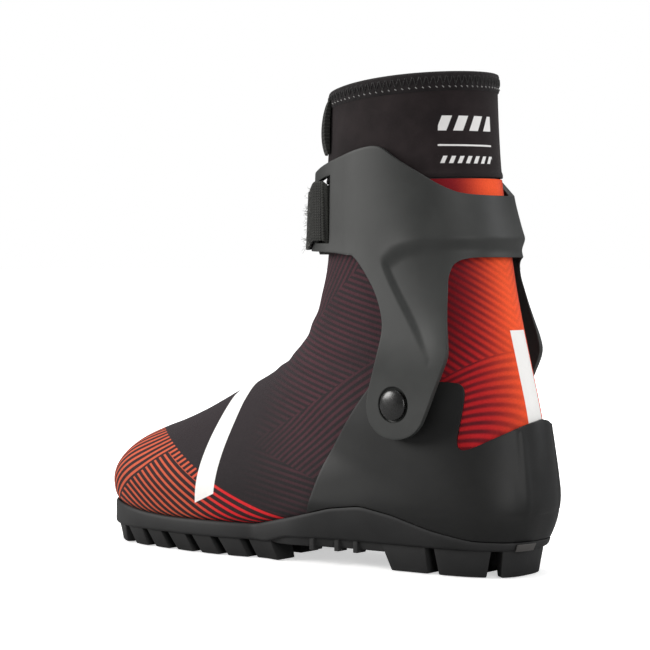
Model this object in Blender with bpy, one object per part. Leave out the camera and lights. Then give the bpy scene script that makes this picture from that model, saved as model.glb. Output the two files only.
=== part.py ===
"""Cross country skate ski boot, left foot, size 42.

Toe points to -X, heel to +X, outer (lateral) side -Y, up is +Z.  Sizes are in millimetres in the
tables and become metres in finish().  The foot shape is a stack of cross sections, each one lying
across the line from a dorsal point D (front of the shaft, top of the foot) to a plantar point P
(back of the shaft, sole of the foot).
"""
import math

import bmesh
import bpy
import numpy as np
from mathutils import Matrix, Vector
from mathutils.bvhtree import BVHTree

for stray in list(bpy.data.objects):
    bpy.data.objects.remove(stray)

# ---------------------------------------------------------------- sizes (mm)
SHIFT = np.array([2.6, 0.0, 0.0])   # brings the middle of the finished boot close to the origin
UPPER = 1.6                         # fabric of the upper
LINING_OUT = -2.3                   # outer face of the lining, measured from the upper's face
LINING = 1.5
CUP_IN, CUP_OUT = 1.2, 3.9          # heel cup faces, measured out from the upper
CUFF = 2.9                          # cuff wall
PIVOT_X, PIVOT_Z = 80.0, 89.3       # ankle hinge
PIVOT_HOLE = 5.4
POST_R = 5.0
COUNTERBORE_R, COUNTERBORE = 9.25, 1.3
CAP_R, CAP_DOME = 8.0, 2.4
FRONT_CUT, REAR_CUT = 97.4, 70.0    # radii about the ankle hinge where shaft and foot part
STRAP = 1.4
STRAP_LOW, STRAP_HIGH = 175.0, 207.0
HEEL_C = 100.0                      # centre of the heel fan in plan
TOE_C = -100.0
HEEL_R, TOE_R = 38.0, 45.0
TOE_Q = TOE_C - HEEL_C              # where the straight run of the outline meets the toe fan
BACK_Q = HEEL_R * math.pi / 2       # middle of the back along the outline
TUCK_Z = 34.0                       # the heel draws in below this height
LIP = 3.0                           # how far the sole stands out from the upper

# Dx, Dz, Px, Pz, half width lateral, medial, widest place, roundness D, roundness P, side lift
STATIONS = np.array([
    (11, 253.5, 107, 263.5, 38, 38, 0.00, 2.0, 2.0, 1.5),
    (9.7, 227, 108.5, 233, 38, 38, 0.00, 2.0, 2.0, 0.5),
    (8.5, 203, 111, 205, 38.5, 38.5, 0.0, 2.0, 2.0, 0),
    (9, 168, 118, 165, 38, 38, -0.05, 2.0, 2.0, 0),
    (3, 144, 124.5, 139, 37, 37, -0.08, 2.0, 1.9, 0),
    (-6, 126.5, 131.5, 112, 36, 36, -0.05, 2.0, 1.9, 0),
    (-17, 114, 138.5, 82, 36, 36, 0.0, 2.0, 2.0, 0),
    (-30, 104.5, 142, 52, 37, 37, 0.1, 2.0, 2.3, 0),
    (-42, 98, 140, 32, 37, 37, 0.15, 1.95, 3.0, 0),
    (-52, 93.5, 126, 23.5, 37, 36, 0.2, 1.9, 3.8, 0),
    (-62, 89.5, 88, 22.5, 38, 36, 0.3, 1.9, 4.2, 0),
    (-72, 84.5, 46, 22, 40, 38, 0.40, 1.9, 4.6, 0),
    (-84, 78.5, 3, 19, 43, 41, 0.45, 1.95, 4.8, 0),
    (-98, 72.5, -42, 15.8, 45.5, 43.5, 0.42, 2.0, 4.8, 0),
    (-112, 67.5, -82, 15.5, 44.5, 44.5, 0.35, 2.05, 4.6, 0),
    (-126, 61.5, -112, 16.3, 39, 41, 0.25, 2.1, 4.0, 0),
    (-137, 54, -131, 18.5, 31, 34, 0.15, 2.1, 3.2, 0),
    (-144.5, 45.5, -142, 22, 20, 23, 0.1, 2.1, 2.5, 0),
    (-148, 34, -147.5, 28, 6, 7, 0.0, 2.0, 2.0, 0),
], float)

# cuff wall in plan at a few heights: z, centre x, half length, half width, squareness
CUFF_ROWS = np.array([
    (60, 68, 70, 47.0, 5.0),
    (98, 68, 70, 47.0, 5.0),
    (116, 68, 69.5, 48.3, 4.6),
    (138, 66.5, 64, 46.2, 3.2),
    (156, 65, 60.5, 44.2, 2.5),
    (172, 64, 58.5, 43.0, 2.25),
    (200, 61, 54.5, 42.0, 2.2),
    (230, 60, 52, 41.5, 2.2),
], float)

# side views (x, z)
CUFF_TOP = ((0, 211.5), (12, 211.5), (25, 215.8), (39.4, 219.8), (51.7, 223), (62.5, 224.8), (69.5, 223.8),
            (76.6, 218.6), (84.8, 213.6), (92.3, 209.2), (104, 201.2), (110.7, 198.6), (125, 198))
CUFF_LOW = ((0, 169.5), (31.8, 168.8), (49.4, 166.7), (98, 166), (107.5, 161), (111.6, 164.7), (118, 166),
            (125, 166))
ARM_FRONT = ((49.4, 166.7), (53.9, 164), (61.2, 155.7), (67.9, 146), (72.2, 135), (73.0, 126.6), (70, 115),
             (66.3, 104), (63.0, 94), (62.3, 86), (64.5, 79.5))
ARM_REAR = ((107.5, 161), (107.2, 156), (108.3, 149), (110.5, 134), (113, 122), (113.6, 115), (109.5, 106),
            (104.7, 96), (101, 87), (97.3, 79.5))
ARM_END = ((64.5, 79.5), (68, 75), (73.5, 71.9), (80.5, 70.9), (87.5, 71.9), (93.3, 74.8), (97.3, 79.5))
CUP_FRONT = ((19, 28), (21.8, 36.2), (27.4, 51.5), (35, 64.4), (48, 84), (62, 101))
RIM_TOP = ((-150, 24.5), (-135, 24), (-118, 22), (-100, 20), (-80, 19), (-20, 19), (12, 26), (34, 31.6),
           (54, 34), (74, 30.4), (97, 23.6), (119, 19.4), (150, 18.4))
FLOOR = ((-150, 17), (-131, 15.2), (-112, 13.4), (-40, 13.2), (3, 16.3), (46, 19.0), (88, 17.6), (150, 16.9))
UNDER = ((-150, 11.2), (-130, 10), (-10, 10), (4, 14), (150, 14))


def smooth(s):
    """Eases from 0 to 1 as s goes from 0 to 1."""
    s = min(max(s, 0), 1)
    return s * s * (3 - 2 * s)


# ---------------------------------------------------------------- the foot form
def stations(t):
    n = len(STATIONS)
    t = np.clip(np.asarray(t, float), 0, n - 1 - 1e-9)
    i = np.floor(t).astype(int)
    f = (t - i)[..., None]
    a = STATIONS[np.maximum(i - 1, 0)]
    b = STATIONS[i]
    c = STATIONS[np.minimum(i + 1, n - 1)]
    d = STATIONS[np.minimum(i + 2, n - 1)]
    return 0.5 * (2 * b + (c - a) * f + (2 * a - 5 * b + 4 * c - d) * f**2 + (3 * b - a - 3 * c + d) * f**3)


def form(t, th, off=0.0):
    """Point of the foot form; th = 0 is the dorsal line and grows over the lateral side."""
    t = np.asarray(t, float)
    th = np.asarray(th, float)
    t, th = np.broadcast_arrays(t, th)
    if np.any(off):
        e = 0.02
        p = form(t, th)
        u = form(np.clip(t + e, 0, 18), th) - form(np.clip(t - e, 0, 18), th)
        v = form(t, th + e) - form(t, th - e)
        n = np.cross(u, v)
        n /= np.linalg.norm(n, axis=-1, keepdims=True) + 1e-12
        return p + n * np.asarray(off)[..., None]
    s = stations(t)
    c, sn = np.cos(th), np.sin(th)
    power = np.where(c > 0, s[..., 7], s[..., 8])
    along = np.sign(c) * np.abs(c) ** (2 / power)
    wide = np.abs(sn) ** (2 / power)
    m = s[..., 6]
    f = (np.where(c > 0, m - (1 + m) * along, m - (1 - m) * along) + 1) / 2
    x = s[..., 0] + (s[..., 2] - s[..., 0]) * f
    z = s[..., 1] + (s[..., 3] - s[..., 1]) * f + s[..., 9] * sn**2
    y = np.where(sn > 0, -s[..., 4], s[..., 5]) * wide
    return np.stack([x, y, z], -1)


def mesh_faces(rows, cols, base=0, flip=False):
    """Four-sided faces of a tube made of rings of points."""
    faces = []
    for i in range(rows - 1):
        for j in range(cols):
            k = (j + 1) % cols
            a = base + i * cols
            quad = [a + j, a + k, a + cols + k, a + cols + j]
            faces.append(quad[::-1] if flip else quad)
    return faces


def form_tree():
    t = np.linspace(0, 18, 120)
    th = np.linspace(0, 2 * np.pi, 120, endpoint=False)
    grid = form(t[:, None], th[None, :])
    verts = [Vector(p) for p in grid.reshape(-1, 3)]
    faces = mesh_faces(len(t), len(th), flip=True)
    faces.append([len(verts) - 1 - k for k in range(len(th))])
    return BVHTree.FromPolygons(verts, faces)


TREE = form_tree()


def line(points, x):
    p = np.array(points, float)
    return float(np.interp(x, p[:, 0], p[:, 1]))


def plan_ray(q):
    """Origin and direction in plan for a place q along the outline (0 is lateral at the heel fan)."""
    half = 2 * BACK_Q
    if q < TOE_Q:
        a = (TOE_Q - q) / TOE_R
        return (TOE_C, -2.0), (-math.sin(a), -math.cos(a))
    if q < 0:
        return (HEEL_C + q, 0.0), (0.0, -1.0)
    if q <= half:
        a = q / HEEL_R
        return (HEEL_C, 0.0), (math.sin(a), -math.cos(a))
    return (HEEL_C - (q - half), 0.0), (0.0, 1.0)


def side(q, z, off=0.0):
    """Point on the foot form seen from its middle line at height z, moved out by off."""
    origin, aim = plan_ray(q)
    hit, normal, _, _ = TREE.ray_cast(Vector((origin[0], origin[1], z)), Vector((aim[0], aim[1], 0)))
    if normal.x * aim[0] + normal.y * aim[1] < 0:
        normal = -normal
    return np.array(hit + normal * off)


def tuck(z):
    """How far the heel draws in at a low height."""
    return 4.5 * (max(TUCK_Z - z, 0.0) / 15.0) ** 1.6


def cup_point(q, z, off):
    if z >= TUCK_Z:
        return side(q, z, off)
    _, aim = plan_ray(q)
    p = side(q, TUCK_Z, off)
    pull = tuck(z)
    return np.array([p[0] - aim[0] * pull, p[1] - aim[1] * pull, z])


# ---------------------------------------------------------------- object helpers
def material(name, rgb, rough=0.6, metal=0.0):
    mat = bpy.data.materials.new(name)
    mat.use_nodes = True
    shader = mat.node_tree.nodes["Principled BSDF"]
    shader.inputs["Base Color"].default_value = (*rgb, 1)
    shader.inputs["Roughness"].default_value = rough
    shader.inputs["Metallic"].default_value = metal
    mat.diffuse_color = (*rgb, 1)
    return mat


def finish(name, verts, faces, mat, pivot=(0, 0, 0)):
    """Makes a closed object in metres; its origin sits at pivot (mm)."""
    mesh = bpy.data.meshes.new(name)
    local = (np.asarray(verts, float) - np.array(pivot, float)) / 1000
    mesh.from_pydata([tuple(v) for v in local], [], [list(f) for f in faces])
    bm = bmesh.new()
    bm.from_mesh(mesh)
    bmesh.ops.remove_doubles(bm, verts=bm.verts, dist=1e-6)
    bmesh.ops.recalc_face_normals(bm, faces=bm.faces)
    bm.to_mesh(mesh)
    bm.free()
    obj = bpy.data.objects.new(name, mesh)
    bpy.context.scene.collection.objects.link(obj)
    obj.location = tuple((np.array(pivot, float) + SHIFT) / 1000)
    if mat is not None:
        mesh.materials.append(mat)
    return obj


def sheet_solid(outer, inner, keep=None):
    """Closed solid from two matching grids of points; keep marks the cells that exist."""
    rows, cols = outer.shape[:2]
    count = rows * cols
    verts = np.concatenate([outer.reshape(-1, 3), inner.reshape(-1, 3)])
    if keep is None:
        keep = np.ones((rows - 1, cols - 1), bool)
    faces = []
    edges = {}
    for i in range(rows - 1):
        for j in range(cols - 1):
            if not keep[i, j]:
                continue
            quad = [i * cols + j, i * cols + j + 1, (i + 1) * cols + j + 1, (i + 1) * cols + j]
            faces.append(quad)
            faces.append([count + k for k in quad[::-1]])
            for a, b in zip(quad, quad[1:] + quad[:1]):
                edges[(a, b)] = edges.get((a, b), 0) + 1
    for a, b in edges:
        if (b, a) not in edges:
            faces.append([b, a, count + a, count + b])
    used = sorted({k for f in faces for k in f})
    index = {k: n for n, k in enumerate(used)}
    return verts[used], [[index[k] for k in f] for f in faces]


def tube_shell(ts, th, outer, inner, closed_end):
    """Sock-shaped shell between two offsets of the foot form."""
    rows, cols = len(ts), len(th)
    a = form(np.array(ts)[:, None], np.array(th)[None, :], outer).reshape(-1, 3)
    b = form(np.array(ts)[:, None], np.array(th)[None, :], inner).reshape(-1, 3)
    n = rows * cols
    verts = np.concatenate([a, b])
    faces = mesh_faces(rows, cols)
    faces += mesh_faces(rows, cols, base=n, flip=True)
    for j in range(cols):
        k = (j + 1) % cols
        faces.append([j, k, n + k, n + j])
        if not closed_end:
            e = (rows - 1) * cols
            faces.append([e + k, e + j, n + e + j, n + e + k])
    if closed_end:
        e = (rows - 1) * cols
        faces.append([e + j for j in range(cols)])
        faces.append([n + e + j for j in range(cols)][::-1])
    return verts, faces


def cutter(name, verts, faces):
    obj = finish(name, verts, faces, None)
    obj.hide_render = True
    obj.display_type = "WIRE"
    return obj


def apply_bool(obj, tool, mode):
    mod = obj.modifiers.new(mode.lower(), "BOOLEAN")
    mod.operation = mode
    mod.solver = "EXACT"
    mod.object = tool
    bpy.context.view_layer.objects.active = obj
    bpy.ops.object.modifier_apply(modifier=mod.name)
    bpy.data.objects.remove(tool)


def prism_y(points, y0, y1):
    """Side view polygon (x, z) pushed through from y0 to y1."""
    n = len(points)
    verts = [(x, y0, z) for x, z in points] + [(x, y1, z) for x, z in points]
    faces = [list(range(n)), list(range(2 * n - 1, n - 1, -1))]
    for i in range(n):
        j = (i + 1) % n
        faces.append([j, i, n + i, n + j])
    return verts, faces


def turned(profile, x, z, sides, sign, hollow=False):
    """Turned solid about a line along Y: profile is (distance along Y, radius) pairs."""
    verts = []
    for d, r in profile:
        for k in range(sides):
            a = 2 * math.pi * k / sides
            verts.append((x + r * math.cos(a), sign * d, z + r * math.sin(a)))
    faces = mesh_faces(len(profile), sides)
    last = (len(profile) - 1) * sides
    if hollow:
        for k in range(sides):
            j = (k + 1) % sides
            faces.append([k, j, last + j, last + k])
    else:
        faces.append(list(range(sides)))
        faces.append([last + k for k in range(sides)])
    return verts, faces


# ---------------------------------------------------------------- where shaft and foot part
def arc(radius, start, end, steps=24):
    out = []
    for a in np.radians(np.linspace(start, end, steps)):
        out.append((PIVOT_X + radius * math.cos(a), PIVOT_Z + radius * math.sin(a)))
    return out


def shaft_region(gap=0.4):
    poly = arc(REAR_CUT + gap, 20, 80, 14)
    poly += arc(FRONT_CUT + gap, 80, 150, 16)
    poly += arc(320, 150, 20, 14)
    return poly


def foot_region(gap=0.4):
    """The step between the two radii slants so that it stays under the cuff."""
    poly = arc(REAR_CUT - gap, 20, 104, 18)
    poly += arc(FRONT_CUT - gap, 111, 150, 12)
    poly += arc(320, 150, 380, 24)
    return poly


def part_shell(name, ts, th, outer, inner, region, mat, closed_end):
    verts, faces = tube_shell(ts, th, outer, inner, closed_end)
    obj = finish(name, verts, faces, mat)
    tool = cutter(name + "_cut", *prism_y(region, -90, 90))
    apply_bool(obj, tool, "INTERSECT")
    return obj


# ---------------------------------------------------------------- materials
BLACK = material("black knit", (0.02, 0.018, 0.02), 0.85)
PLUM = material("plum print fabric", (0.055, 0.03, 0.035), 0.75)
RED = material("red print fabric", (0.55, 0.05, 0.03), 0.7)
GREY = material("grey nylon", (0.06, 0.06, 0.058), 0.45)
CUPMAT = material("dark composite", (0.035, 0.035, 0.035), 0.4)
RUBBER = material("rubber", (0.02, 0.02, 0.02), 0.7)
STEEL = material("steel", (0.6, 0.6, 0.6), 0.25, 1.0)
GLOSS = material("glossy cap", (0.02, 0.02, 0.02), 0.15)
WEB = material("webbing", (0.03, 0.03, 0.028), 0.9)
FOAM = material("lining knit", (0.05, 0.05, 0.055), 0.95)
BOARD = material("board", (0.3, 0.26, 0.2), 0.8)
CARBON = material("fibre plate", (0.03, 0.03, 0.03), 0.3)
LABEL = material("label", (0.35, 0.35, 0.35), 0.5)
HOOK = material("hook tape", (0.05, 0.05, 0.05), 1.0)

# ---------------------------------------------------------------- upper, collar, lining
AROUND = np.linspace(0, 2 * np.pi, 30, endpoint=False)
FOOT_T = np.array([2.2, 2.7, 3.3, 4, 4.7, 5.4, 6, 6.7, 7.4, 8, 8.6, 9.3, 10, 11, 12, 13, 13.8, 14.5, 15.2,
                   15.9, 16.5, 17, 17.4, 17.75, 18])
SHAFT_T = np.array([2.02, 2.5, 3.0, 3.5, 4.0, 4.6, 5.2])
part_shell("upper_foot", FOOT_T, AROUND, 0.0, -UPPER, foot_region(), PLUM, True)
part_shell("upper_shaft", SHAFT_T, AROUND, 0.0, -UPPER, shaft_region(), RED, False)
LIN_IN = LINING_OUT - LINING
part_shell("lining_foot", FOOT_T[:-1], AROUND, LINING_OUT, LIN_IN, foot_region(), FOAM, True)
LINING_T = np.array([0.16, 0.7, 1.3, 2.0, 2.5, 3.0, 3.5, 4.0, 4.6, 5.2])
part_shell("lining_shaft", LINING_T, AROUND, LINING_OUT, LIN_IN, shaft_region(), FOAM, False)
verts, faces = tube_shell(np.array([0.14, 0.6, 1.1, 1.6, 1.985]), AROUND, 0.0, -UPPER, False)
finish("collar", verts, faces, BLACK)


def binding_solid():
    """Folded tape closing the top edge of collar and lining."""
    rows = []
    for t, off in ((0.12, 0.3), (0.02, 0.1), (0.0, -1.5), (0.02, LIN_IN - 0.1), (0.12, LIN_IN - 0.1)):
        rows.append(form(np.full(30, t), AROUND, off))
    grid = np.array(rows)
    verts = grid.reshape(-1, 3)
    faces = mesh_faces(5, 30)
    for j in range(30):
        k = (j + 1) % 30
        faces.append([j, k, 120 + k, 120 + j])
    return verts, faces


verts, faces = binding_solid()
finish("collar_binding", verts, faces, BLACK)

# ---------------------------------------------------------------- inside the foot
bed_t = FOOT_T[11:21]
bed_th = AROUND[12:19]
bed_low = form(bed_t[:, None], bed_th[None, :], LIN_IN - 0.5)
bed_top = bed_low.copy()
bed_top[..., 2] += 3.5
finish("footbed", *sheet_solid(bed_top, bed_low), BOARD)

plate_t = np.array([9.6, 10.2, 11, 12, 12.8])
plate_th = np.pi + np.linspace(-0.5, 0.5, 5)
plate_top = form(plate_t[:, None], plate_th[None, :], 0.4)
plate_low = plate_top.copy()
plate_low[..., 2] -= 1.2
finish("shank_plate", *sheet_solid(plate_top, plate_low), CARBON)


# ---------------------------------------------------------------- heel cup
def polyline(points, f):
    """Point at fraction f of a polyline's length."""
    p = np.array(points, float)
    step = np.linalg.norm(np.diff(p, axis=0), axis=1)
    s = np.concatenate([[0], np.cumsum(step)]) / step.sum()
    return np.array([np.interp(f, s, p[:, 0]), np.interp(f, s, p[:, 1])])


CUP_BACK_Z = 81.5
CUP_TOP = ((-38, 101), (-10, 101.5), (8, 101), (13.5, 100), (16, 96), (15, 88), (12.5, 76), (11.5, 69),
           (14, 65.8), (20, 66.5), (35, 73), (50, 79.5), (BACK_Q, CUP_BACK_Z))


def cup_low(q):
    x = HEEL_C + q if q < 0 else side(q, 40.0)[0]
    return line(RIM_TOP, x) + 0.45


def coons(left, right, low, top, rows, cols):
    """Grid of 2-D points between four border curves, each a function of a fraction."""
    grid = np.zeros((rows, cols, 2))
    for i, v in enumerate(np.linspace(0, 1, rows)):
        for j, u in enumerate(np.linspace(0, 1, cols)):
            edge_v = (1 - u) * left(v) + u * right(v)
            edge_u = (1 - v) * low(u) + v * top(u)
            corner = (1 - u) * (1 - v) * low(0) + u * (1 - v) * low(1)
            corner = corner + (1 - u) * v * top(0) + u * v * top(1)
            grid[i, j] = edge_v + edge_u - corner
    return grid


def cup_half(rows, cols):
    front = [(x - HEEL_C, z) for x, z in CUP_FRONT]
    front[0] = (front[0][0], cup_low(front[0][0]))

    def low(u):
        q = front[0][0] + (BACK_Q - front[0][0]) * u
        return np.array([q, cup_low(q)])

    back_low = cup_low(BACK_Q)

    def back(v):
        return np.array([BACK_Q, back_low + (CUP_BACK_Z - back_low) * v])

    return coons(lambda v: polyline(front, v), back, low, lambda u: polyline(CUP_TOP, u), rows, cols)


def heel_cup(rows=9, cols=17):
    half = cup_half(rows, cols)
    full = np.zeros((rows, 2 * cols - 1, 2))
    full[:, :cols] = half
    mirror = half[:, ::-1].copy()
    mirror[..., 0] = 2 * BACK_Q - mirror[..., 0]
    full[:, cols - 1:] = mirror
    outer = np.zeros(full.shape[:2] + (3,))
    inner = outer.copy()
    for i in range(rows):
        for j in range(full.shape[1]):
            q, z = full[i, j]
            outer[i, j] = cup_point(q, z, CUP_OUT)
            inner[i, j] = cup_point(q, z, CUP_IN)
    return sheet_solid(outer, inner)


cup = finish("heel_cup", *heel_cup(), CUPMAT)
for sign in (-1, 1):
    tool = cutter("hole", *turned([(30, PIVOT_HOLE), (60, PIVOT_HOLE)], PIVOT_X, PIVOT_Z, 20, sign))
    apply_bool(cup, tool, "DIFFERENCE")


# ---------------------------------------------------------------- cuff
def cuff_row(z):
    return [float(np.interp(z, CUFF_ROWS[:, 0], CUFF_ROWS[:, k])) for k in range(1, 5)]


def cuff_flare(x):
    return 3.5 * smooth((42 - x) / 30)


def cuff_normal(x, y, z):
    xc, a, b, n = cuff_row(z)
    gx = math.copysign(abs((x - xc) / a) ** (n - 1) / a, x - xc)
    gy = math.copysign(abs(y / b) ** (n - 1) / b, y)
    size = math.hypot(gx, gy)
    return gx / size, gy / size


def cuff_at(x, z, sign, depth=0.0):
    """Cuff wall on one side at a given x; depth is measured inward."""
    xc, a, b, n = cuff_row(z)
    y = sign * b * max(1 - abs((x - xc) / a) ** n, 1e-6) ** (1 / n)
    nx, ny = cuff_normal(x, y, z)
    out = cuff_flare(x) - depth
    return np.array([x + nx * out, y + ny * out, z])


def cuff_turn(beta, z, depth=0.0):
    """Cuff wall at an angle: 0 is the front, 90 lateral, 180 the back."""
    xc, a, b, n = cuff_row(z)
    c, s = math.cos(beta), math.sin(beta)
    x = xc - math.copysign(a * abs(c) ** (2 / n), c)
    y = -math.copysign(b * abs(s) ** (2 / n), s)
    nx, ny = cuff_normal(x, y, z)
    out = cuff_flare(x) - depth
    return np.array([x + nx * out, y + ny * out, z])


def beta_for(x, z):
    xc, a, _, n = cuff_row(z)
    u = (xc - x) / a
    c = math.copysign(abs(u) ** (n / 2), u)
    return math.acos(max(min(c, 1), -1))


FRONT_X = (13.0, 20.5, 31.5, 36.5, 42.5, 49.4)
ARM_X = (59.5, 69.4, 79.0, 88.5, 98.0, 107.5)
BAND_F = (0.0, 0.1, 0.3, 0.5, 0.7, 0.9, 1.0)


def cuff_columns(back=5):
    beta = [beta_for(x, 185.0) for x in FRONT_X + ARM_X]
    last = beta[-1]
    beta += [last + (math.pi - last) * k / back for k in range(1, back + 1)]
    return beta + [2 * math.pi - b for b in beta[-2::-1]]


def cuff_mesh(depth):
    verts = []
    beta = cuff_columns()
    band = np.zeros((len(BAND_F), len(beta)), int)
    for i, f in enumerate(BAND_F):
        for j, b in enumerate(beta):
            x = cuff_turn(b, 190.0)[0]
            z = (1 - f) * line(CUFF_LOW, x) + f * line(CUFF_TOP, x)
            band[i, j] = len(verts)
            verts.append(cuff_turn(b, z, depth))
    faces = []
    for i in range(len(BAND_F) - 1):
        for j in range(len(beta) - 1):
            slot = 1 <= i <= 4 and j == 1
            if not slot:
                faces.append((band[i, j], band[i, j + 1], band[i + 1, j + 1], band[i + 1, j]))
    first = len(FRONT_X) - 1
    cols = len(ARM_X) + 1
    rows = 11
    for sign in (-1, 1):
        top = list(range(first, first + cols))
        if sign > 0:
            top = [len(beta) - 1 - k for k in top]
        places = [tuple(verts[band[0, k]]) for k in top]
        top_xz = [(p[0], p[2]) for p in places]
        arm = coons(lambda v: polyline(ARM_FRONT[::-1], v), lambda v: polyline(ARM_REAR[::-1], v),
                    lambda u: polyline(ARM_END, u), lambda u: polyline(top_xz, u), rows, cols)
        index = np.zeros((rows, cols), int)
        index[rows - 1] = [band[0, k] for k in top]
        for i in range(rows - 1):
            for j in range(cols):
                index[i, j] = len(verts)
                verts.append(cuff_at(arm[i, j, 0], arm[i, j, 1], sign, depth))
        for i in range(rows - 1):
            for j in range(cols - 1):
                quad = (index[i, j], index[i, j + 1], index[i + 1, j + 1], index[i + 1, j])
                faces.append(quad if sign < 0 else quad[::-1])
    return np.array(verts), faces


def cuff_solid():
    outer, faces = cuff_mesh(0.0)
    inner, _ = cuff_mesh(CUFF)
    n = len(outer)
    solid = [list(f) for f in faces] + [[n + k for k in f[::-1]] for f in faces]
    edges = set()
    for f in faces:
        for a, b in zip(f, f[1:] + f[:1]):
            edges.add((a, b))
    for a, b in edges:
        if (b, a) not in edges:
            solid.append([b, a, n + a, n + b])
    return np.concatenate([outer, inner]), solid


PIVOT = (PIVOT_X, 0.0, PIVOT_Z)
verts, faces = cuff_solid()
cuff = finish("cuff", verts, faces, GREY, PIVOT)
ARM_Y = 47.0
for sign in (-1, 1):
    tool = cutter("hole", *turned([(38, PIVOT_HOLE), (55, PIVOT_HOLE)], PIVOT_X, PIVOT_Z, 24, sign))
    apply_bool(cuff, tool, "DIFFERENCE")
    seat = turned([(ARM_Y - COUNTERBORE, COUNTERBORE_R), (55, COUNTERBORE_R)], PIVOT_X, PIVOT_Z, 32, sign)
    apply_bool(cuff, cutter("seat", *seat), "DIFFERENCE")

# ---------------------------------------------------------------- ankle hinge hardware
WASHER_R = 10.0
PLAY = 0.4
cup_y = 0.0
for dx in (-9, 0, 9):
    for dz in (-9, 0, 9):
        q = PIVOT_X + dx - HEEL_C
        cup_y = max(cup_y, abs(side(q, PIVOT_Z + dz, CUP_OUT)[1]))
        cup_y = max(cup_y, abs(side(2 * BACK_Q - q, PIVOT_Z + dz, CUP_OUT)[1]))
fabric_y = abs(side(PIVOT_X - HEEL_C, PIVOT_Z)[1]) + 1.0
for tag, sign in (("outer", -1), ("inner", 1)):
    post = [(fabric_y, POST_R), (ARM_Y - 1.0, POST_R), (ARM_Y - 1.0, 2.6), (fabric_y, 2.6)]
    finish("pivot_post_" + tag, *turned(post, PIVOT_X, PIVOT_Z, 24, sign, True), STEEL)
    near, far = cup_y + PLAY, ARM_Y - CUFF - PLAY
    ring = [(near, WASHER_R), (far, WASHER_R), (far, POST_R + 0.5), (near, POST_R + 0.5)]
    finish("pivot_washer_" + tag, *turned(ring, PIVOT_X, PIVOT_Z, 24, sign, True), RUBBER)
    base = ARM_Y - 0.75
    rim = base + 1.5
    cap = [(fabric_y + 1.5, 2.2), (base, 2.2), (base, CAP_R), (rim, CAP_R)]
    for k in (1, 2, 3):
        a = k * math.pi / 10
        cap.append((rim + (CAP_DOME - 0.6) * math.sin(a), CAP_R * math.cos(a)))
    cap.append((rim + CAP_DOME - 0.6, 2.2))
    finish("pivot_cap_" + tag, *turned(cap, PIVOT_X, PIVOT_Z, 24, sign), GLOSS)


# ---------------------------------------------------------------- outsole
def sole_place(q):
    """Outline point, outward direction and the x used for the height tables."""
    _, aim = plan_ray(q)
    if q < 0:
        x = plan_ray(q)[0][0]
    else:
        x = side(q, TUCK_Z)[0]
    if q < TOE_Q:
        x = side(q, 30.0)[0]
    x = float(np.clip(x, -149, 149))
    rear = min(max((x - 5) / 30, 0), 1)
    rim = line(RIM_TOP, x)
    level = (1 - rear) * rim + rear * TUCK_Z
    p = side(q, level)
    return p, np.array([aim[0], aim[1], 0.0]), x, rear, rim


def lip(x, rear):
    """How far the sole stands out: most at the heel, least round the toe."""
    return LIP + 1.2 * rear - 1.1 * smooth((-112 - x) / 32)


def other_side(q):
    """The place across the boot from q."""
    if q < TOE_Q:
        return 2 * TOE_Q - TOE_R * math.pi - q
    return 2 * BACK_Q - q


def sole_rings():
    lateral = [float(v) for v in np.linspace(0, TOE_Q, 15)]
    toe = [TOE_Q - TOE_R * math.pi / 2 * k / 6 for k in range(1, 7)]
    heel = [BACK_Q * k / 5 for k in range(5, 0, -1)]
    first = heel + lateral + toe
    return first, [other_side(q) for q in first[-2:0:-1]]


def outsole():
    first, second = sole_rings()
    qs = first + second
    n = len(qs)
    levels = [[] for _ in range(6)]
    for q in qs:
        p, aim, x, rear, rim = sole_place(q)
        under = line(UNDER, x)
        floor = min(line(FLOOR, x), rim - 0.8)
        out = lip(x, rear)
        inn = 1.05
        mid = 0.5 * (under + rim)
        for k, (off, z) in enumerate(((out - 1.2, under), (out, under + 1.2), (out, mid), (out - 0.4, rim),
                                      (inn, rim), (inn, floor))):
            pull = tuck(z) * rear
            spot = p + aim * (off - pull)
            levels[k].append((spot[0], spot[1], z))
    verts = [v for ring in levels for v in ring]
    faces = mesh_faces(6, n)
    half = len(first)
    for base in (0, 5 * n):
        for i in range(half - 1):
            a, b = i, i + 1
            c, d = (n - (i + 1)) % n, (n - i) % n
            if b == half - 1:
                quad = [a, b, d]
            elif i == 0:
                quad = [a, b, c]
            else:
                quad = [a, b, c, d]
            faces.append([base + k for k in quad])
    return verts, faces


def outline_xy(q, inset):
    p, aim, x, rear, _ = sole_place(q)
    pull = tuck(line(UNDER, x)) * rear
    spot = p + aim * (lip(x, rear) - 1.2 - pull - inset)
    return spot[0], spot[1]


def spring(x):
    """Height of the walking surface: the toe curves up a little."""
    return 2.0 * (max(-116.0 - x, 0) / 32.0) ** 2


def lug(q0, q1, depth, lean=0.0, mirror=False, shrink=0.85, inset=0.6, steps=3):
    """Tread block along the edge between two outline places, its foot drawn in and leaning along X."""
    top = []
    low = []
    places = [q0 + (q1 - q0) * k / steps for k in range(steps + 1)]
    if mirror:
        places = [other_side(q) for q in places]
    for q in places:
        top.append(outline_xy(q, inset))
        low.append(outline_xy(q, inset + 2.2))
    for q in reversed(places):
        top.append(outline_xy(q, inset + depth))
        low.append(outline_xy(q, inset + depth - 1.5))
    cx = sum(p[0] for p in low) / len(low)
    cy = sum(p[1] for p in low) / len(low)
    low = [(cx + (x - cx) * shrink + lean, cy + (y - cy) * 0.97) for x, y in low]
    zt = max(line(UNDER, x) for x, _ in top) + 1.2
    n = len(top)
    verts = [(x, y, zt) for x, y in top] + [(x, y, spring(x)) for x, y in low]
    faces = [list(range(n)), list(range(2 * n - 1, n - 1, -1))]
    for i in range(n):
        j = (i + 1) % n
        faces.append([j, i, n + i, n + j])
    return verts, faces


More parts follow.
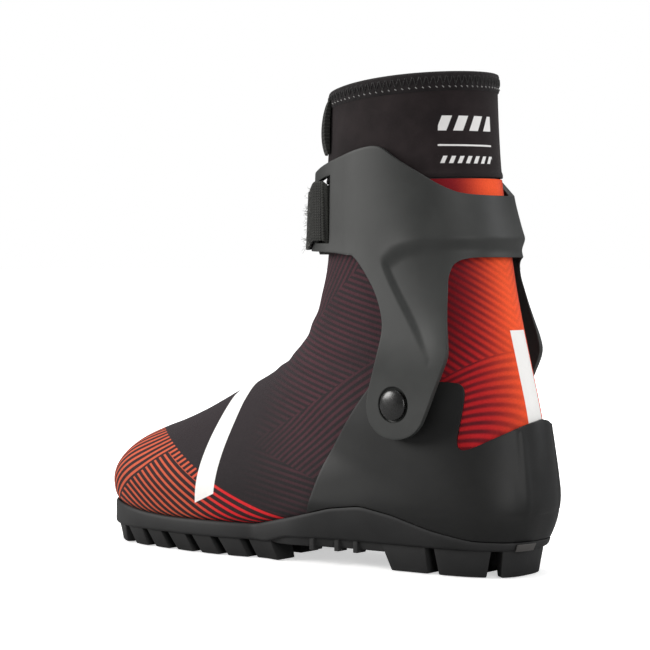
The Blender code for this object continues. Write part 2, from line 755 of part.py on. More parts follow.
def box_block(x0, x1, y0, y1, draft=1.0):
    zt = max(line(UNDER, x0), line(UNDER, x1)) + 1.2
    top = [(x0, y0), (x1, y0), (x1, y1), (x0, y1)]
    u0, u1, w0, w1 = x0 + draft, x1 - draft, y0 + draft, y1 - draft
    low = [(u0, w0), (u1, w0), (u1, w1), (u0, w1)]
    verts = [(x, y, zt) for x, y in top] + [(x, y, spring(x)) for x, y in low]
    faces = [[0, 1, 2, 3], [7, 6, 5, 4]]
    for i in range(4):
        j = (i + 1) % 4
        faces.append([j, i, 4 + i, 4 + j])
    return verts, faces


def tread():
    blocks = []
    spans = [(-222, -205, 19, 3.0, 0.9), (-201, -188, 19, 5.5, 0.9), (-183, -169, 19, 6.0, 0.9),
             (-164, -150, 19, 6.0, 0.9), (-145, -130.5, 19, 6.0, 0.9), (-125.5, -108, 19, 5.0, 0.9),
             (-38.5, -10.5, 15, 3.0, 0.8)]
    for q0, q1, depth, lean, shrink in spans:
        for mirror in (False, True):
            blocks.append(lug(q0, q1, depth, lean, mirror, shrink))
    for mirror in (False, True):
        blocks.append(lug(-5.5, 32.0, 14, 0.0, mirror, steps=6))
    blocks.append(lug(38.0, other_side(38.0), 11, steps=6))
    blocks.append(lug(-226.0, other_side(-226.0), 9, steps=8))
    for x0 in (-133.5, -97.0):
        blocks.append(box_block(x0, x0 + 10, 10.5, 20.5))
        blocks.append(box_block(x0, x0 + 10, -20.5, -10.5))
    for x0, x1, half in ((-84, -62, 9), (-57, -35, 9), (-30, -11, 9), (72, 90, 8), (95, 113, 8)):
        blocks.append(box_block(x0, x1, -half, half))
    return blocks


def waist_rails():
    verts = []
    faces = []
    for sign in (-1, 1):
        base = len(verts)
        for x in (-9.0, 8.0, 30.0, 52.0, 72.5):
            q = x - HEEL_C if sign < 0 else 2 * BACK_Q - (x - HEEL_C)
            px, py = outline_xy(q, 0.5)
            drop = 9.6 if -5 < x < 70 else 10.5
            verts += [(px, py, 15.2), (px, py - sign * 9, 15.2)]
            verts += [(px, py - sign * 8, drop), (px, py - sign * 1.2, drop)]
        for i in range(4):
            for k in range(4):
                a, b = base + 4 * i + k, base + 4 * i + (k + 1) % 4
                faces.append([a, b, b + 4, a + 4])
        faces.append([base, base + 1, base + 2, base + 3])
        faces.append([base + 16, base + 17, base + 18, base + 19][::-1])
    return verts, faces


sole = finish("outsole", *outsole(), RUBBER)
for block in tread():
    apply_bool(sole, cutter("block", *block), "UNION")
apply_bool(sole, cutter("rails", *waist_rails()), "UNION")
BAR_Z = 5.4
for tag, x in (("front", -128.5), ("rear", -92.0)):
    pocket = turned([(-14.5, 1.9), (14.5, 1.9)], x, BAR_Z, 14, 1)
    apply_bool(sole, cutter("pocket", *pocket), "DIFFERENCE")
    pin = [(-14.2, 1.1), (-13.8, 1.5), (13.8, 1.5), (14.2, 1.1)]
    finish("binding_bar_" + tag, *turned(pin, x, BAR_Z, 14, 1), STEEL)


# ---------------------------------------------------------------- heel label
def label_solid():
    outer = np.zeros((2, 5, 3))
    inner = outer.copy()
    for j, q in enumerate(np.linspace(43.5, 55.5, 5)):
        p, aim, x, rear, _ = sole_place(q)
        for i, z in enumerate((14.0, 18.0)):
            spot = p + aim * (lip(x, rear) - tuck(z) * rear)
            spot[2] = z
            outer[i, j] = spot + aim * 1.5
            inner[i, j] = spot + aim * 0.6
    return sheet_solid(outer, inner)


finish("heel_label", *label_solid(), LABEL)


# ---------------------------------------------------------------- strap
def ribbon(path, low, high, thick, rows=3):
    """Upright band; path(z) gives its centre points in plan at height z."""
    grids = [[], []]
    for z in np.linspace(low, high, rows):
        p = np.array(path(z), float)
        d = np.gradient(p, axis=0)
        d /= np.linalg.norm(d, axis=1, keepdims=True)
        n = np.stack([-d[:, 1], d[:, 0]], 1) * thick / 2
        level = np.full((len(p), 1), z)
        grids[0].append(np.hstack([p + n, level]))
        grids[1].append(np.hstack([p - n, level]))
    return sheet_solid(np.array(grids[0]), np.array(grids[1]))


def front_ring(angle, out):
    """Plan point in front of the shaft at strap height; angle from straight ahead, lateral positive."""
    a = math.radians(angle)
    return 60 - (51.2 + out) * math.cos(a), -(38.6 + out) * math.sin(a)


ZS = 0.5 * (STRAP_LOW + STRAP_HIGH)
TURN = ((14.0, CUFF + 1.15), (19.0, CUFF + 1.15), (26.5, CUFF + 1.15), (28.4, CUFF + 0.7), (29.2, CUFF * 0.7),
        (29.2, CUFF * 0.3), (28.4, -0.6), (26.5, -1.2), (19.0, -1.2), (13.6, -1.2))


def under_path(z):
    ring = [front_ring(a, 1.9) for a in (-50, -43, -36, -28, -20, -10, 0, 10, 20, 28)]
    return ring + [tuple(cuff_turn(beta_for(x, z), z, depth)[:2]) for x, depth in TURN]


def bar_front(z):
    end = cuff_turn(beta_for(13.0, z), z, -1.2)
    return float(end[0]) - 1.1, float(end[1]) + 0.9


def flap_at(z):
    places = ((21, 5.6), (15, 4.95), (8, 4.75), (0, 4.75), (-8, 4.75), (-16, 4.75), (-23, 4.75))
    return [bar_front(z)] + [front_ring(a, out) for a, out in places]


def patch_at(z):
    return [front_ring(a, 3.4) for a in (12, 4, -4, -12, -20)]


HINGE = (*bar_front(ZS), ZS)
finish("strap_under", *ribbon(under_path, STRAP_LOW, STRAP_HIGH, STRAP, 5), WEB, PIVOT)
finish("strap_flap", *ribbon(flap_at, STRAP_LOW, STRAP_HIGH, STRAP), WEB, HINGE)
finish("hook_patch", *ribbon(patch_at, STRAP_LOW + 1.5, STRAP_HIGH - 1.5, 0.7), HOOK, HINGE)

# ---------------------------------------------------------------- strap rivet on the medial cuff end
RIVET_X = 23.0
rivet_beta = 2 * math.pi - beta_for(RIVET_X, ZS)
seat = cuff_turn(rivet_beta, ZS)
tail = cuff_turn(rivet_beta, ZS, CUFF)
axis = (seat - tail) / np.linalg.norm(seat - tail)


def rivet_solid(profile, sides=14):
    up = np.array([0, 0, 1.0])
    sidev = np.cross(axis, up)
    verts = []
    for d, r in profile:
        for k in range(sides):
            a = 2 * math.pi * k / sides
            verts.append(seat + axis * d + (sidev * math.cos(a) + up * math.sin(a)) * r)
    faces = mesh_faces(len(profile), sides)
    faces.append(list(range(sides)))
    faces.append([(len(profile) - 1) * sides + k for k in range(sides)])
    return verts, faces


for target in ("cuff", "strap_under"):
    tool = cutter("hole", *rivet_solid([(-9, 2.3), (6, 2.3)]))
    apply_bool(bpy.data.objects[target], tool, "DIFFERENCE")
RIVET = ((-4.6, 1.9), (0.4, 1.9), (0.4, 4.5), (1.3, 4.3), (2.0, 2.6))
finish("strap_rivet", *rivet_solid(RIVET), STEEL, PIVOT)

# ---------------------------------------------------------------- zip on the front of the collar
zip_t = np.linspace(0.22, 1.72, 7)
tape_th = np.linspace(-0.13, 0.13, 5)
finish("zip_tape", *sheet_solid(form(zip_t[:, None], tape_th[None, :], 1.0),
                                form(zip_t[:, None], tape_th[None, :], 0.4)), BLACK, PIVOT)
coil_th = np.linspace(-0.05, 0.05, 3)
finish("zip_coil", *sheet_solid(form(zip_t[:, None], coil_th[None, :], 2.2),
                                form(zip_t[:, None], coil_th[None, :], 1.3)), GREY, PIVOT)
FRONT_A = form(0.3, 0.0)
FRONT_B = form(1.7, 0.0)
RUN = (FRONT_B - FRONT_A) / np.linalg.norm(FRONT_B - FRONT_A)
OUT = np.array([RUN[2], 0, -RUN[0]])
SLIDE_AT = FRONT_A + RUN * 0.5


def zip_box(cx, half_w, d0, d1, s0, s1):
    """Box in the zip's own frame: across, out of the fabric, along the run."""
    verts = []
    for y in (cx - half_w, cx + half_w):
        for d, s in ((d0, s0), (d1, s0), (d1, s1), (d0, s1)):
            verts.append(SLIDE_AT + OUT * d + RUN * s + np.array([0, y, 0]))
    faces = [[0, 1, 2, 3], [7, 6, 5, 4]]
    for i in range(4):
        j = (i + 1) % 4
        faces.append([j, i, 4 + i, 4 + j])
    return verts, faces


def slider_solid():
    """Channel over the coil with a cross bridge for the puller."""
    section = ((-4.0, 1.5), (-4.0, 4.0), (4.0, 4.0), (4.0, 1.5), (3.0, 1.5), (3.0, 2.9), (-3.0, 2.9),
               (-3.0, 1.5))
    verts = []
    for s in (0.0, 9.0):
        for y, d in section:
            verts.append(SLIDE_AT + OUT * d + RUN * s + np.array([0, y, 0]))
    n = len(section)
    faces = [list(range(n)), list(range(2 * n - 1, n - 1, -1))]
    for i in range(n):
        j = (i + 1) % n
        faces.append([j, i, n + i, n + j])
    return verts, faces


slider = finish("zip_slider", *slider_solid(), STEEL, tuple(SLIDE_AT))
ARCH = ((0.0, 0.6, 3.5, 6.4, 1.0, 1.8), (0.0, 0.6, 3.5, 6.4, 5.0, 5.8), (0.0, 0.6, 5.6, 6.4, 1.0, 5.8))
for spec in ARCH:
    apply_bool(slider, cutter("arch", *zip_box(*spec)), "UNION")
PULL_AT = SLIDE_AT + OUT * 4.75 + RUN * 3.4
puller = finish("zip_puller", *zip_box(0, 3.0, 4.35, 5.15, 2.95, 18.5), STEEL, tuple(PULL_AT))
apply_bool(puller, cutter("eye", *zip_box(0, 1.3, 4.0, 5.7, 3.85, 6.9)), "DIFFERENCE")


# ---------------------------------------------------------------- pull loop on the front of the collar
def loop_solid():
    outer = []
    inner = []
    for k, t in enumerate(np.linspace(0.25, 1.25, 9)):
        bulge = 2.6 * math.sin(math.pi * k / 8) ** 0.8
        th = np.linspace(0.46, 0.80, 3)
        outer.append(form(np.full(3, t), th, 1.9 + bulge))
        inner.append(form(np.full(3, t), th, 0.5 + bulge))
    return sheet_solid(np.array(outer), np.array(inner))


finish("pull_loop", *loop_solid(), WEB, PIVOT)

for name in ("upper_shaft", "collar", "collar_binding", "lining_shaft"):
    obj = bpy.data.objects[name]
    lift = Vector(PIVOT) / 1000
    obj.data.transform(Matrix.Translation(-lift))
    obj.location = Vector(obj.location) + lift
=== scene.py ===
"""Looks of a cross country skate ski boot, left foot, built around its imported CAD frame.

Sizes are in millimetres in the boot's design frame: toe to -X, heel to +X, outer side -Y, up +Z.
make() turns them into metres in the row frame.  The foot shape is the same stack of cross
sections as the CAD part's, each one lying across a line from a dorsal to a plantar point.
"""
import math
import random

import bmesh
import bpy
import numpy as np
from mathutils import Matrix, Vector
from mathutils.bvhtree import BVHTree


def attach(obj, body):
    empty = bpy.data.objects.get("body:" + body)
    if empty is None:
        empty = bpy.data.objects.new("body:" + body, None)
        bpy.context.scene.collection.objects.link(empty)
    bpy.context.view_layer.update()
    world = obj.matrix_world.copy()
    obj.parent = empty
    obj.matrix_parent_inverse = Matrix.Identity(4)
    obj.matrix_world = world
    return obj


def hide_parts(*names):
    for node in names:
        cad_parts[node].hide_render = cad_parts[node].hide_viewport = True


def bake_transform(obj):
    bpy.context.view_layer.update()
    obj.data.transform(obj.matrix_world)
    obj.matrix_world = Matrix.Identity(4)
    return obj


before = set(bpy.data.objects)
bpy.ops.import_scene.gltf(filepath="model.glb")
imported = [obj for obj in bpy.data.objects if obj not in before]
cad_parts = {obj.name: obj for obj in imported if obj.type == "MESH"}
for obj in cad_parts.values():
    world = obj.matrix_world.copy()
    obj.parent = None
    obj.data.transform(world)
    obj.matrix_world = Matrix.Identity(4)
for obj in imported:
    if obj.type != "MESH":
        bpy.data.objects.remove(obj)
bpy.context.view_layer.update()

# ---------------------------------------------------------------- sizes (mm)
SHIFT = (2.6, 0.0, 0.0)             # design frame to row frame
PIVOT_X, PIVOT_Z = 80.0, 89.3       # ankle hinge
BORE = 5.4                          # radius of the hinge bores
ARM_Y = 47.0                        # outer face of the cuff's arms
CUFF = 2.9                          # cuff wall
HEEL_C, TOE_C = 100.0, -100.0       # centres of the heel and toe fans in plan
HEEL_R, TOE_R = 38.0, 45.0
BACK_Q = HEEL_R * math.pi / 2       # outline place at the middle of the heel
TOE_Q = TOE_C - HEEL_C              # outline place where the toe fan starts
TUCK_Z = 34.0                       # the heel draws in below this height
CUP_BACK_Z = 81.5                   # top of the heel shell at the back
LUG_INSET = 0.35                    # edge lugs behind the sole's edge
RAIL_TOP = 15.2                     # waist rails and ribs start inside the sole
UPPER = 1.4                         # printed fabric
LINING_OUT, LINING_IN = -2.3, -3.8  # faces of the lining, from the foot form
STRAP = 1.9                         # webbing
STRAP_LOW, STRAP_HIGH = 175.0, 207.0
LAST = 18                           # number of the last station below

# Dx, Dz, Px, Pz, half width lateral, medial, widest place, roundness D, roundness P, side lift
STATIONS = np.array([
    (11, 253.5, 107, 263.5, 38, 38, 0.00, 2.0, 2.0, 1.5),
    (9.7, 227, 108.5, 233, 38, 38, 0.00, 2.0, 2.0, 0.5),
    (8.5, 203, 111, 205, 38.5, 38.5, 0.0, 2.0, 2.0, 0),
    (9, 168, 118, 165, 38, 38, -0.05, 2.0, 2.0, 0),
    (3, 144, 124.5, 139, 37, 37, -0.08, 2.0, 1.9, 0),
    (-6, 126.5, 131.5, 112, 36, 36, -0.05, 2.0, 1.9, 0),
    (-17, 114, 138.5, 82, 36, 36, 0.0, 2.0, 2.0, 0),
    (-30, 104.5, 142, 52, 37, 37, 0.1, 2.0, 2.3, 0),
    (-42, 98, 140, 32, 37, 37, 0.15, 1.95, 3.0, 0),
    (-52, 93.5, 126, 23.5, 37, 36, 0.2, 1.9, 3.8, 0),
    (-62, 89.5, 88, 22.5, 38, 36, 0.3, 1.9, 4.2, 0),
    (-72, 84.5, 46, 22, 40, 38, 0.40, 1.9, 4.6, 0),
    (-84, 78.5, 3, 19, 43, 41, 0.45, 1.95, 4.8, 0),
    (-98, 72.5, -42, 15.8, 45.5, 43.5, 0.42, 2.0, 4.8, 0),
    (-112, 67.5, -82, 15.5, 44.5, 44.5, 0.35, 2.05, 4.6, 0),
    (-126, 61.5, -112, 16.3, 39, 41, 0.25, 2.1, 4.0, 0),
    (-137, 54, -131, 18.5, 31, 34, 0.15, 2.1, 3.2, 0),
    (-144.5, 45.5, -142, 22, 20, 23, 0.1, 2.1, 2.5, 0),
    (-148, 34, -147.5, 28, 6, 7, 0.0, 2.0, 2.0, 0),
], float)

# cuff wall in plan at a few heights: z, centre x, half length, half width, squareness
CUFF_ROWS = np.array([
    (60, 68, 70, 47.0, 5.0),
    (98, 68, 70, 47.0, 5.0),
    (116, 68, 69.5, 48.3, 4.6),
    (138, 66.5, 64, 46.2, 3.2),
    (156, 65, 60.5, 44.2, 2.5),
    (172, 64, 58.5, 43.0, 2.25),
    (200, 61, 54.5, 42.0, 2.2),
    (230, 60, 52, 41.5, 2.2),
], float)

# side views (x, z)
CUFF_TOP = ((0, 211.5), (12, 211.5), (25, 215.8), (39.4, 219.8), (51.7, 223), (62.5, 224.8), (69.5, 223.8),
            (76.6, 218.6), (84.8, 213.6), (92.3, 209.2), (104, 201.2), (110.7, 198.6), (125, 198))
CUFF_LOW = ((0, 169.5), (31.8, 168.8), (49.4, 166.7), (98, 166), (104, 164), (107.5, 161), (108.6, 162.9),
            (111.6, 164.7), (115, 165.6), (118, 166), (125, 166))
ARM_FRONT = ((49.4, 166.7), (53.9, 164), (61.2, 155.7), (67.9, 146), (72.2, 135), (73.0, 126.6), (70, 115),
             (66.3, 104), (63.0, 94), (62.3, 86), (64.5, 79.5))
ARM_REAR = ((107.5, 161), (107.2, 156), (108.3, 149), (110.5, 134), (113, 122), (113.6, 115), (109.5, 106),
            (104.7, 96), (101, 87), (97.3, 79.5))
ARM_END = ((64.5, 79.5), (68, 75), (73.5, 71.9), (80.5, 70.9), (87.5, 71.9), (93.3, 74.8), (97.3, 79.5))
STEP_LINE = ((66.5, 163), (69.2, 166.5), (77.9, 172.5), (86.5, 175), (100.7, 176.5), (112, 177), (130, 177))
CREASE = ((68.5, 166), (71.6, 159.5), (77.1, 150.5), (84.1, 140.5), (90.9, 131), (96.5, 122), (101, 114))
CUP_FRONT = ((19, 28), (21.8, 36.2), (27.4, 51.5), (35, 64.4), (48, 84), (62, 101))
RIM_TOP = ((-150, 24.5), (-135, 24), (-118, 22), (-100, 20), (-80, 19), (-20, 19), (12, 26), (34, 31.6),
           (54, 34), (74, 30.4), (97, 23.6), (119, 19.4), (150, 18.4))
FLOOR = ((-150, 17), (-131, 15.2), (-112, 13.4), (-40, 13.2), (3, 16.3), (46, 19.0), (88, 17.6), (150, 16.9))
UNDER = ((-150, 11.2), (-130, 10), (-10, 10), (4, 14), (150, 14))


# ---------------------------------------------------------------- the foot form
def stations(t):
    n = len(STATIONS)
    t = np.clip(np.asarray(t, float), 0, n - 1 - 1e-9)
    i = np.floor(t).astype(int)
    f = (t - i)[..., None]
    a = STATIONS[np.maximum(i - 1, 0)]
    b = STATIONS[i]
    c = STATIONS[np.minimum(i + 1, n - 1)]
    d = STATIONS[np.minimum(i + 2, n - 1)]
    return 0.5 * (2 * b + (c - a) * f + (2 * a - 5 * b + 4 * c - d) * f**2 + (3 * b - a - 3 * c + d) * f**3)


def form(t, th, off=0.0):
    """Point of the foot form; th = 0 is the dorsal line and grows over the lateral side."""
    t = np.asarray(t, float)
    th = np.asarray(th, float)
    t, th = np.broadcast_arrays(t, th)
    if np.any(off):
        e = 0.02
        p = form(t, th)
        u = form(np.clip(t + e, 0, LAST), th) - form(np.clip(t - e, 0, LAST), th)
        v = form(t, th + e) - form(t, th - e)
        n = np.cross(u, v)
        n /= np.linalg.norm(n, axis=-1, keepdims=True) + 1e-12
        return p + n * np.asarray(off)[..., None]
    s = stations(t)
    c, sn = np.cos(th), np.sin(th)
    power = np.where(c > 0, s[..., 7], s[..., 8])
    along = np.sign(c) * np.abs(c) ** (2 / power)
    wide = np.abs(sn) ** (2 / power)
    m = s[..., 6]
    f = (np.where(c > 0, m - (1 + m) * along, m - (1 - m) * along) + 1) / 2
    x = s[..., 0] + (s[..., 2] - s[..., 0]) * f
    z = s[..., 1] + (s[..., 3] - s[..., 1]) * f + s[..., 9] * sn**2
    y = np.where(sn > 0, -s[..., 4], s[..., 5]) * wide
    return np.stack([x, y, z], -1)


def mesh_faces(rows, cols, closed=True, base=0, flip=False):
    faces = []
    last = cols if closed else cols - 1
    for i in range(rows - 1):
        for j in range(last):
            k = (j + 1) % cols
            near, far = base + i * cols, base + (i + 1) * cols
            quad = [near + j, near + k, far + k, far + j]
            faces.append(quad[::-1] if flip else quad)
    return faces


def turn_angles(count):
    return np.linspace(0, 2 * np.pi, count, endpoint=False)


def form_tree():
    t = np.linspace(0, LAST, 240)
    th = turn_angles(240)
    grid = form(t[:, None], th)
    verts = [Vector(p) for p in grid.reshape(-1, 3)]
    faces = mesh_faces(len(t), len(th), flip=True)
    faces.append([len(verts) - 1 - k for k in range(len(th))])
    return BVHTree.FromPolygons(verts, faces)


TREE = form_tree()


def line(points, x):
    p = np.array(points, float)
    return float(np.interp(x, p[:, 0], p[:, 1]))


def soft_line(points, x, reach=3.0):
    """The same line with its corners rounded off."""
    p = np.array(points, float)
    return float(np.mean(np.interp(x + np.linspace(-reach, reach, 9), p[:, 0], p[:, 1])))


def round_corners(points, times=2):
    """Corner cutting that keeps both ends."""
    p = np.array(points, float)
    for _ in range(times):
        near = 0.75 * p[:-1] + 0.25 * p[1:]
        far = 0.25 * p[:-1] + 0.75 * p[1:]
        middle = np.stack([near, far], 1).reshape(-1, p.shape[1])
        p = np.concatenate([p[:1], middle, p[-1:]])
    return p


def polyline(points, f):
    """Point at fraction f of a polyline's length."""
    p = np.array(points, float)
    step = np.linalg.norm(np.diff(p, axis=0), axis=1)
    s = np.concatenate([[0], np.cumsum(step)]) / step.sum()
    return np.array([np.interp(f, s, p[:, k]) for k in range(p.shape[1])])


def plan_ray(q):
    """Origin and direction in plan for a place q along the outline (0 is lateral at the heel fan)."""
    half = 2 * BACK_Q
    if q < TOE_Q:
        a = (TOE_Q - q) / TOE_R
        return (TOE_C, -2.0), (-math.sin(a), -math.cos(a))
    if q < 0:
        return (HEEL_C + q, 0.0), (0.0, -1.0)
    if q <= half:
        a = q / HEEL_R
        return (HEEL_C, 0.0), (math.sin(a), -math.cos(a))
    return (HEEL_C - (q - half), 0.0), (0.0, 1.0)


def side(q, z, off=0.0):
    """Point on the foot form seen from its middle line at height z, moved out by off."""
    origin, aim = plan_ray(q)
    hit, normal, _, _ = TREE.ray_cast(Vector((origin[0], origin[1], z)), Vector((aim[0], aim[1], 0)))
    if normal.x * aim[0] + normal.y * aim[1] < 0:
        normal = -normal
    return np.array(hit + normal * off)


def tuck(z):
    """How far the heel draws in at height z."""
    return 4.5 * (max(TUCK_Z - z, 0.0) / 15.0) ** 1.6


def cup_point(q, z, off):
    """Point on the heel, off mm outside the foot form and drawn in near the sole."""
    if z >= TUCK_Z:
        return side(q, z, off)
    _, aim = plan_ray(q)
    p = side(q, TUCK_Z, off)
    pull = tuck(z)
    return np.array([p[0] - aim[0] * pull, p[1] - aim[1] * pull, z])


def coons(left, right, low, top, us, vs):
    """Grid of 2-D points between four border curves, each a function of a fraction."""
    grid = np.zeros((len(vs), len(us), 2))
    for i, v in enumerate(vs):
        for j, u in enumerate(us):
            edge_v = (1 - u) * left(v) + u * right(v)
            edge_u = (1 - v) * low(u) + v * top(u)
            corner = (1 - u) * (1 - v) * low(0) + u * (1 - v) * low(1)
            corner = corner + (1 - u) * v * top(0) + u * v * top(1)
            grid[i, j] = edge_v + edge_u - corner
    return grid


def smooth(value):
    """Goes from 0 to 1 with level ends as value does."""
    s = min(max(value, 0.0), 1.0)
    return s * s * (3 - 2 * s)


# ---------------------------------------------------------------- node sums for materials
class Num:
    """A number inside a material's node tree that can be added, scaled and compared."""

    def __init__(self, tree, socket):
        self.tree = tree
        self.socket = socket

    def do(self, operation, *others):
        node = self.tree.nodes.new("ShaderNodeMath")
        node.operation = operation
        for place, item in enumerate((self, *others)):
            if isinstance(item, Num):
                self.tree.links.new(item.socket, node.inputs[place])
            else:
                node.inputs[place].default_value = item
        return Num(self.tree, node.outputs[0])

    def __add__(self, other):
        return self.do("ADD", other)

    def __sub__(self, other):
        return self.do("SUBTRACT", other)

    def __mul__(self, other):
        return self.do("MULTIPLY", other)

    def __truediv__(self, other):
        return self.do("DIVIDE", other)

    def __abs__(self):
        return self.do("ABSOLUTE")

    def __neg__(self):
        return self.do("MULTIPLY", -1.0)

    def most(self, other):
        return self.do("MAXIMUM", other)

    def flip(self):
        """One minus this."""
        return (-self) + 1.0

    def ramp(self, low, high, start=0.0, end=1.0):
        """Goes smoothly from start at low to end at high."""
        node = self.tree.nodes.new("ShaderNodeMapRange")
        node.interpolation_type = "SMOOTHSTEP"
        self.tree.links.new(self.socket, node.inputs["Value"])
        for name, number in (("From Min", low), ("From Max", high), ("To Min", start), ("To Max", end)):
            node.inputs[name].default_value = number
        return Num(self.tree, node.outputs[0])

    def above(self, edge, soft=0.12):
        return self.ramp(edge - soft, edge + soft)

    def below(self, edge, soft=0.12):
        return self.ramp(edge - soft, edge + soft, 1.0, 0.0)

    def stripes(self, period, share, soft=0.16):
        """1 on bands that take this share of each period."""
        return self.do("PINGPONG", period / 2).below(share * period / 2, soft)


class Paint:
    """A material with its principled shader and a few texture makers."""

    def __init__(self, name, roughness=0.5, metallic=0.0, specular=0.5, sheen=0.0, coat=0.0):
        self.material = bpy.data.materials.new(name)
        self.material.use_nodes = True
        self.tree = self.material.node_tree
        self.shader = self.tree.nodes["Principled BSDF"]
        for key, number in (("Roughness", roughness), ("Metallic", metallic),
                            ("Specular IOR Level", specular), ("Sheen Weight", sheen),
                            ("Sheen Roughness", 0.45), ("Coat Weight", coat), ("Coat Roughness", 0.12)):
            self.shader.inputs[key].default_value = number

    def node(self, kind, **settings):
        made = self.tree.nodes.new(kind)
        for key, value in settings.items():
            setattr(made, key, value)
        return made

    def attribute(self, name):
        """A stored vector and its three numbers."""
        source = self.node("ShaderNodeAttribute", attribute_name=name)
        return source.outputs["Vector"], self.split(source.outputs["Vector"])

    def split(self, vector):
        parts = self.node("ShaderNodeSeparateXYZ")
        self.tree.links.new(vector, parts.inputs[0])
        return [Num(self.tree, parts.outputs[k]) for k in range(3)]

    def millimetres(self):
        """The piece's own coordinates in millimetres."""
        place = self.node("ShaderNodeTexCoord")
        scale = self.node("ShaderNodeVectorMath", operation="SCALE")
        self.tree.links.new(place.outputs["Object"], scale.inputs[0])
        scale.inputs["Scale"].default_value = 1000.0
        return scale.outputs[0]

    def stretch(self, vector, x, y, z):
        scale = self.node("ShaderNodeVectorMath", operation="MULTIPLY")
        self.tree.links.new(vector, scale.inputs[0])
        scale.inputs[1].default_value = (x, y, z)
        return scale.outputs[0]

    def noise(self, vector, size, detail=3.0, rough=0.55):
        """Noise from 0 to 1 with features about size across."""
        node = self.node("ShaderNodeTexNoise")
        self.tree.links.new(vector, node.inputs["Vector"])
        node.inputs["Scale"].default_value = 1.0 / size
        node.inputs["Detail"].default_value = detail
        node.inputs["Roughness"].default_value = rough
        return Num(self.tree, node.outputs["Fac"])

    def grains(self, vector, size):
        """Distance to the nearest of many scattered grains."""
        node = self.node("ShaderNodeTexVoronoi")
        self.tree.links.new(vector, node.inputs["Vector"])
        node.inputs["Scale"].default_value = 1.0 / size
        return Num(self.tree, node.outputs["Distance"])

    def sharpness(self):
        """About 0.5 on flat places and more on outer edges."""
        return Num(self.tree, self.node("ShaderNodeNewGeometry").outputs["Pointiness"])

    def mix(self, factor, a, b):
        """Colour from a to b; each is a colour or a socket."""
        node = self.node("ShaderNodeMix", data_type="RGBA")
        for place, item in ((6, a), (7, b)):
            if isinstance(item, tuple):
                node.inputs[place].default_value = (*item, 1.0)
            else:
                self.tree.links.new(item, node.inputs[place])
        self.tree.links.new(factor.socket, node.inputs[0])
        return node.outputs[2]

    def finish(self, colour, roughness=None, height=None, depth=0.1, strength=1.0):
        """Connects colour, roughness and a bump whose full height is depth in mm."""
        self.tree.links.new(colour, self.shader.inputs["Base Color"])
        if roughness is not None:
            self.tree.links.new(roughness.socket, self.shader.inputs["Roughness"])
        if height is not None:
            bump = self.node("ShaderNodeBump")
            bump.inputs["Strength"].default_value = strength
            bump.inputs["Distance"].default_value = depth / 1000
            self.tree.links.new(height.socket, bump.inputs["Height"])
            self.tree.links.new(bump.outputs["Normal"], self.shader.inputs["Normal"])
        return self.material


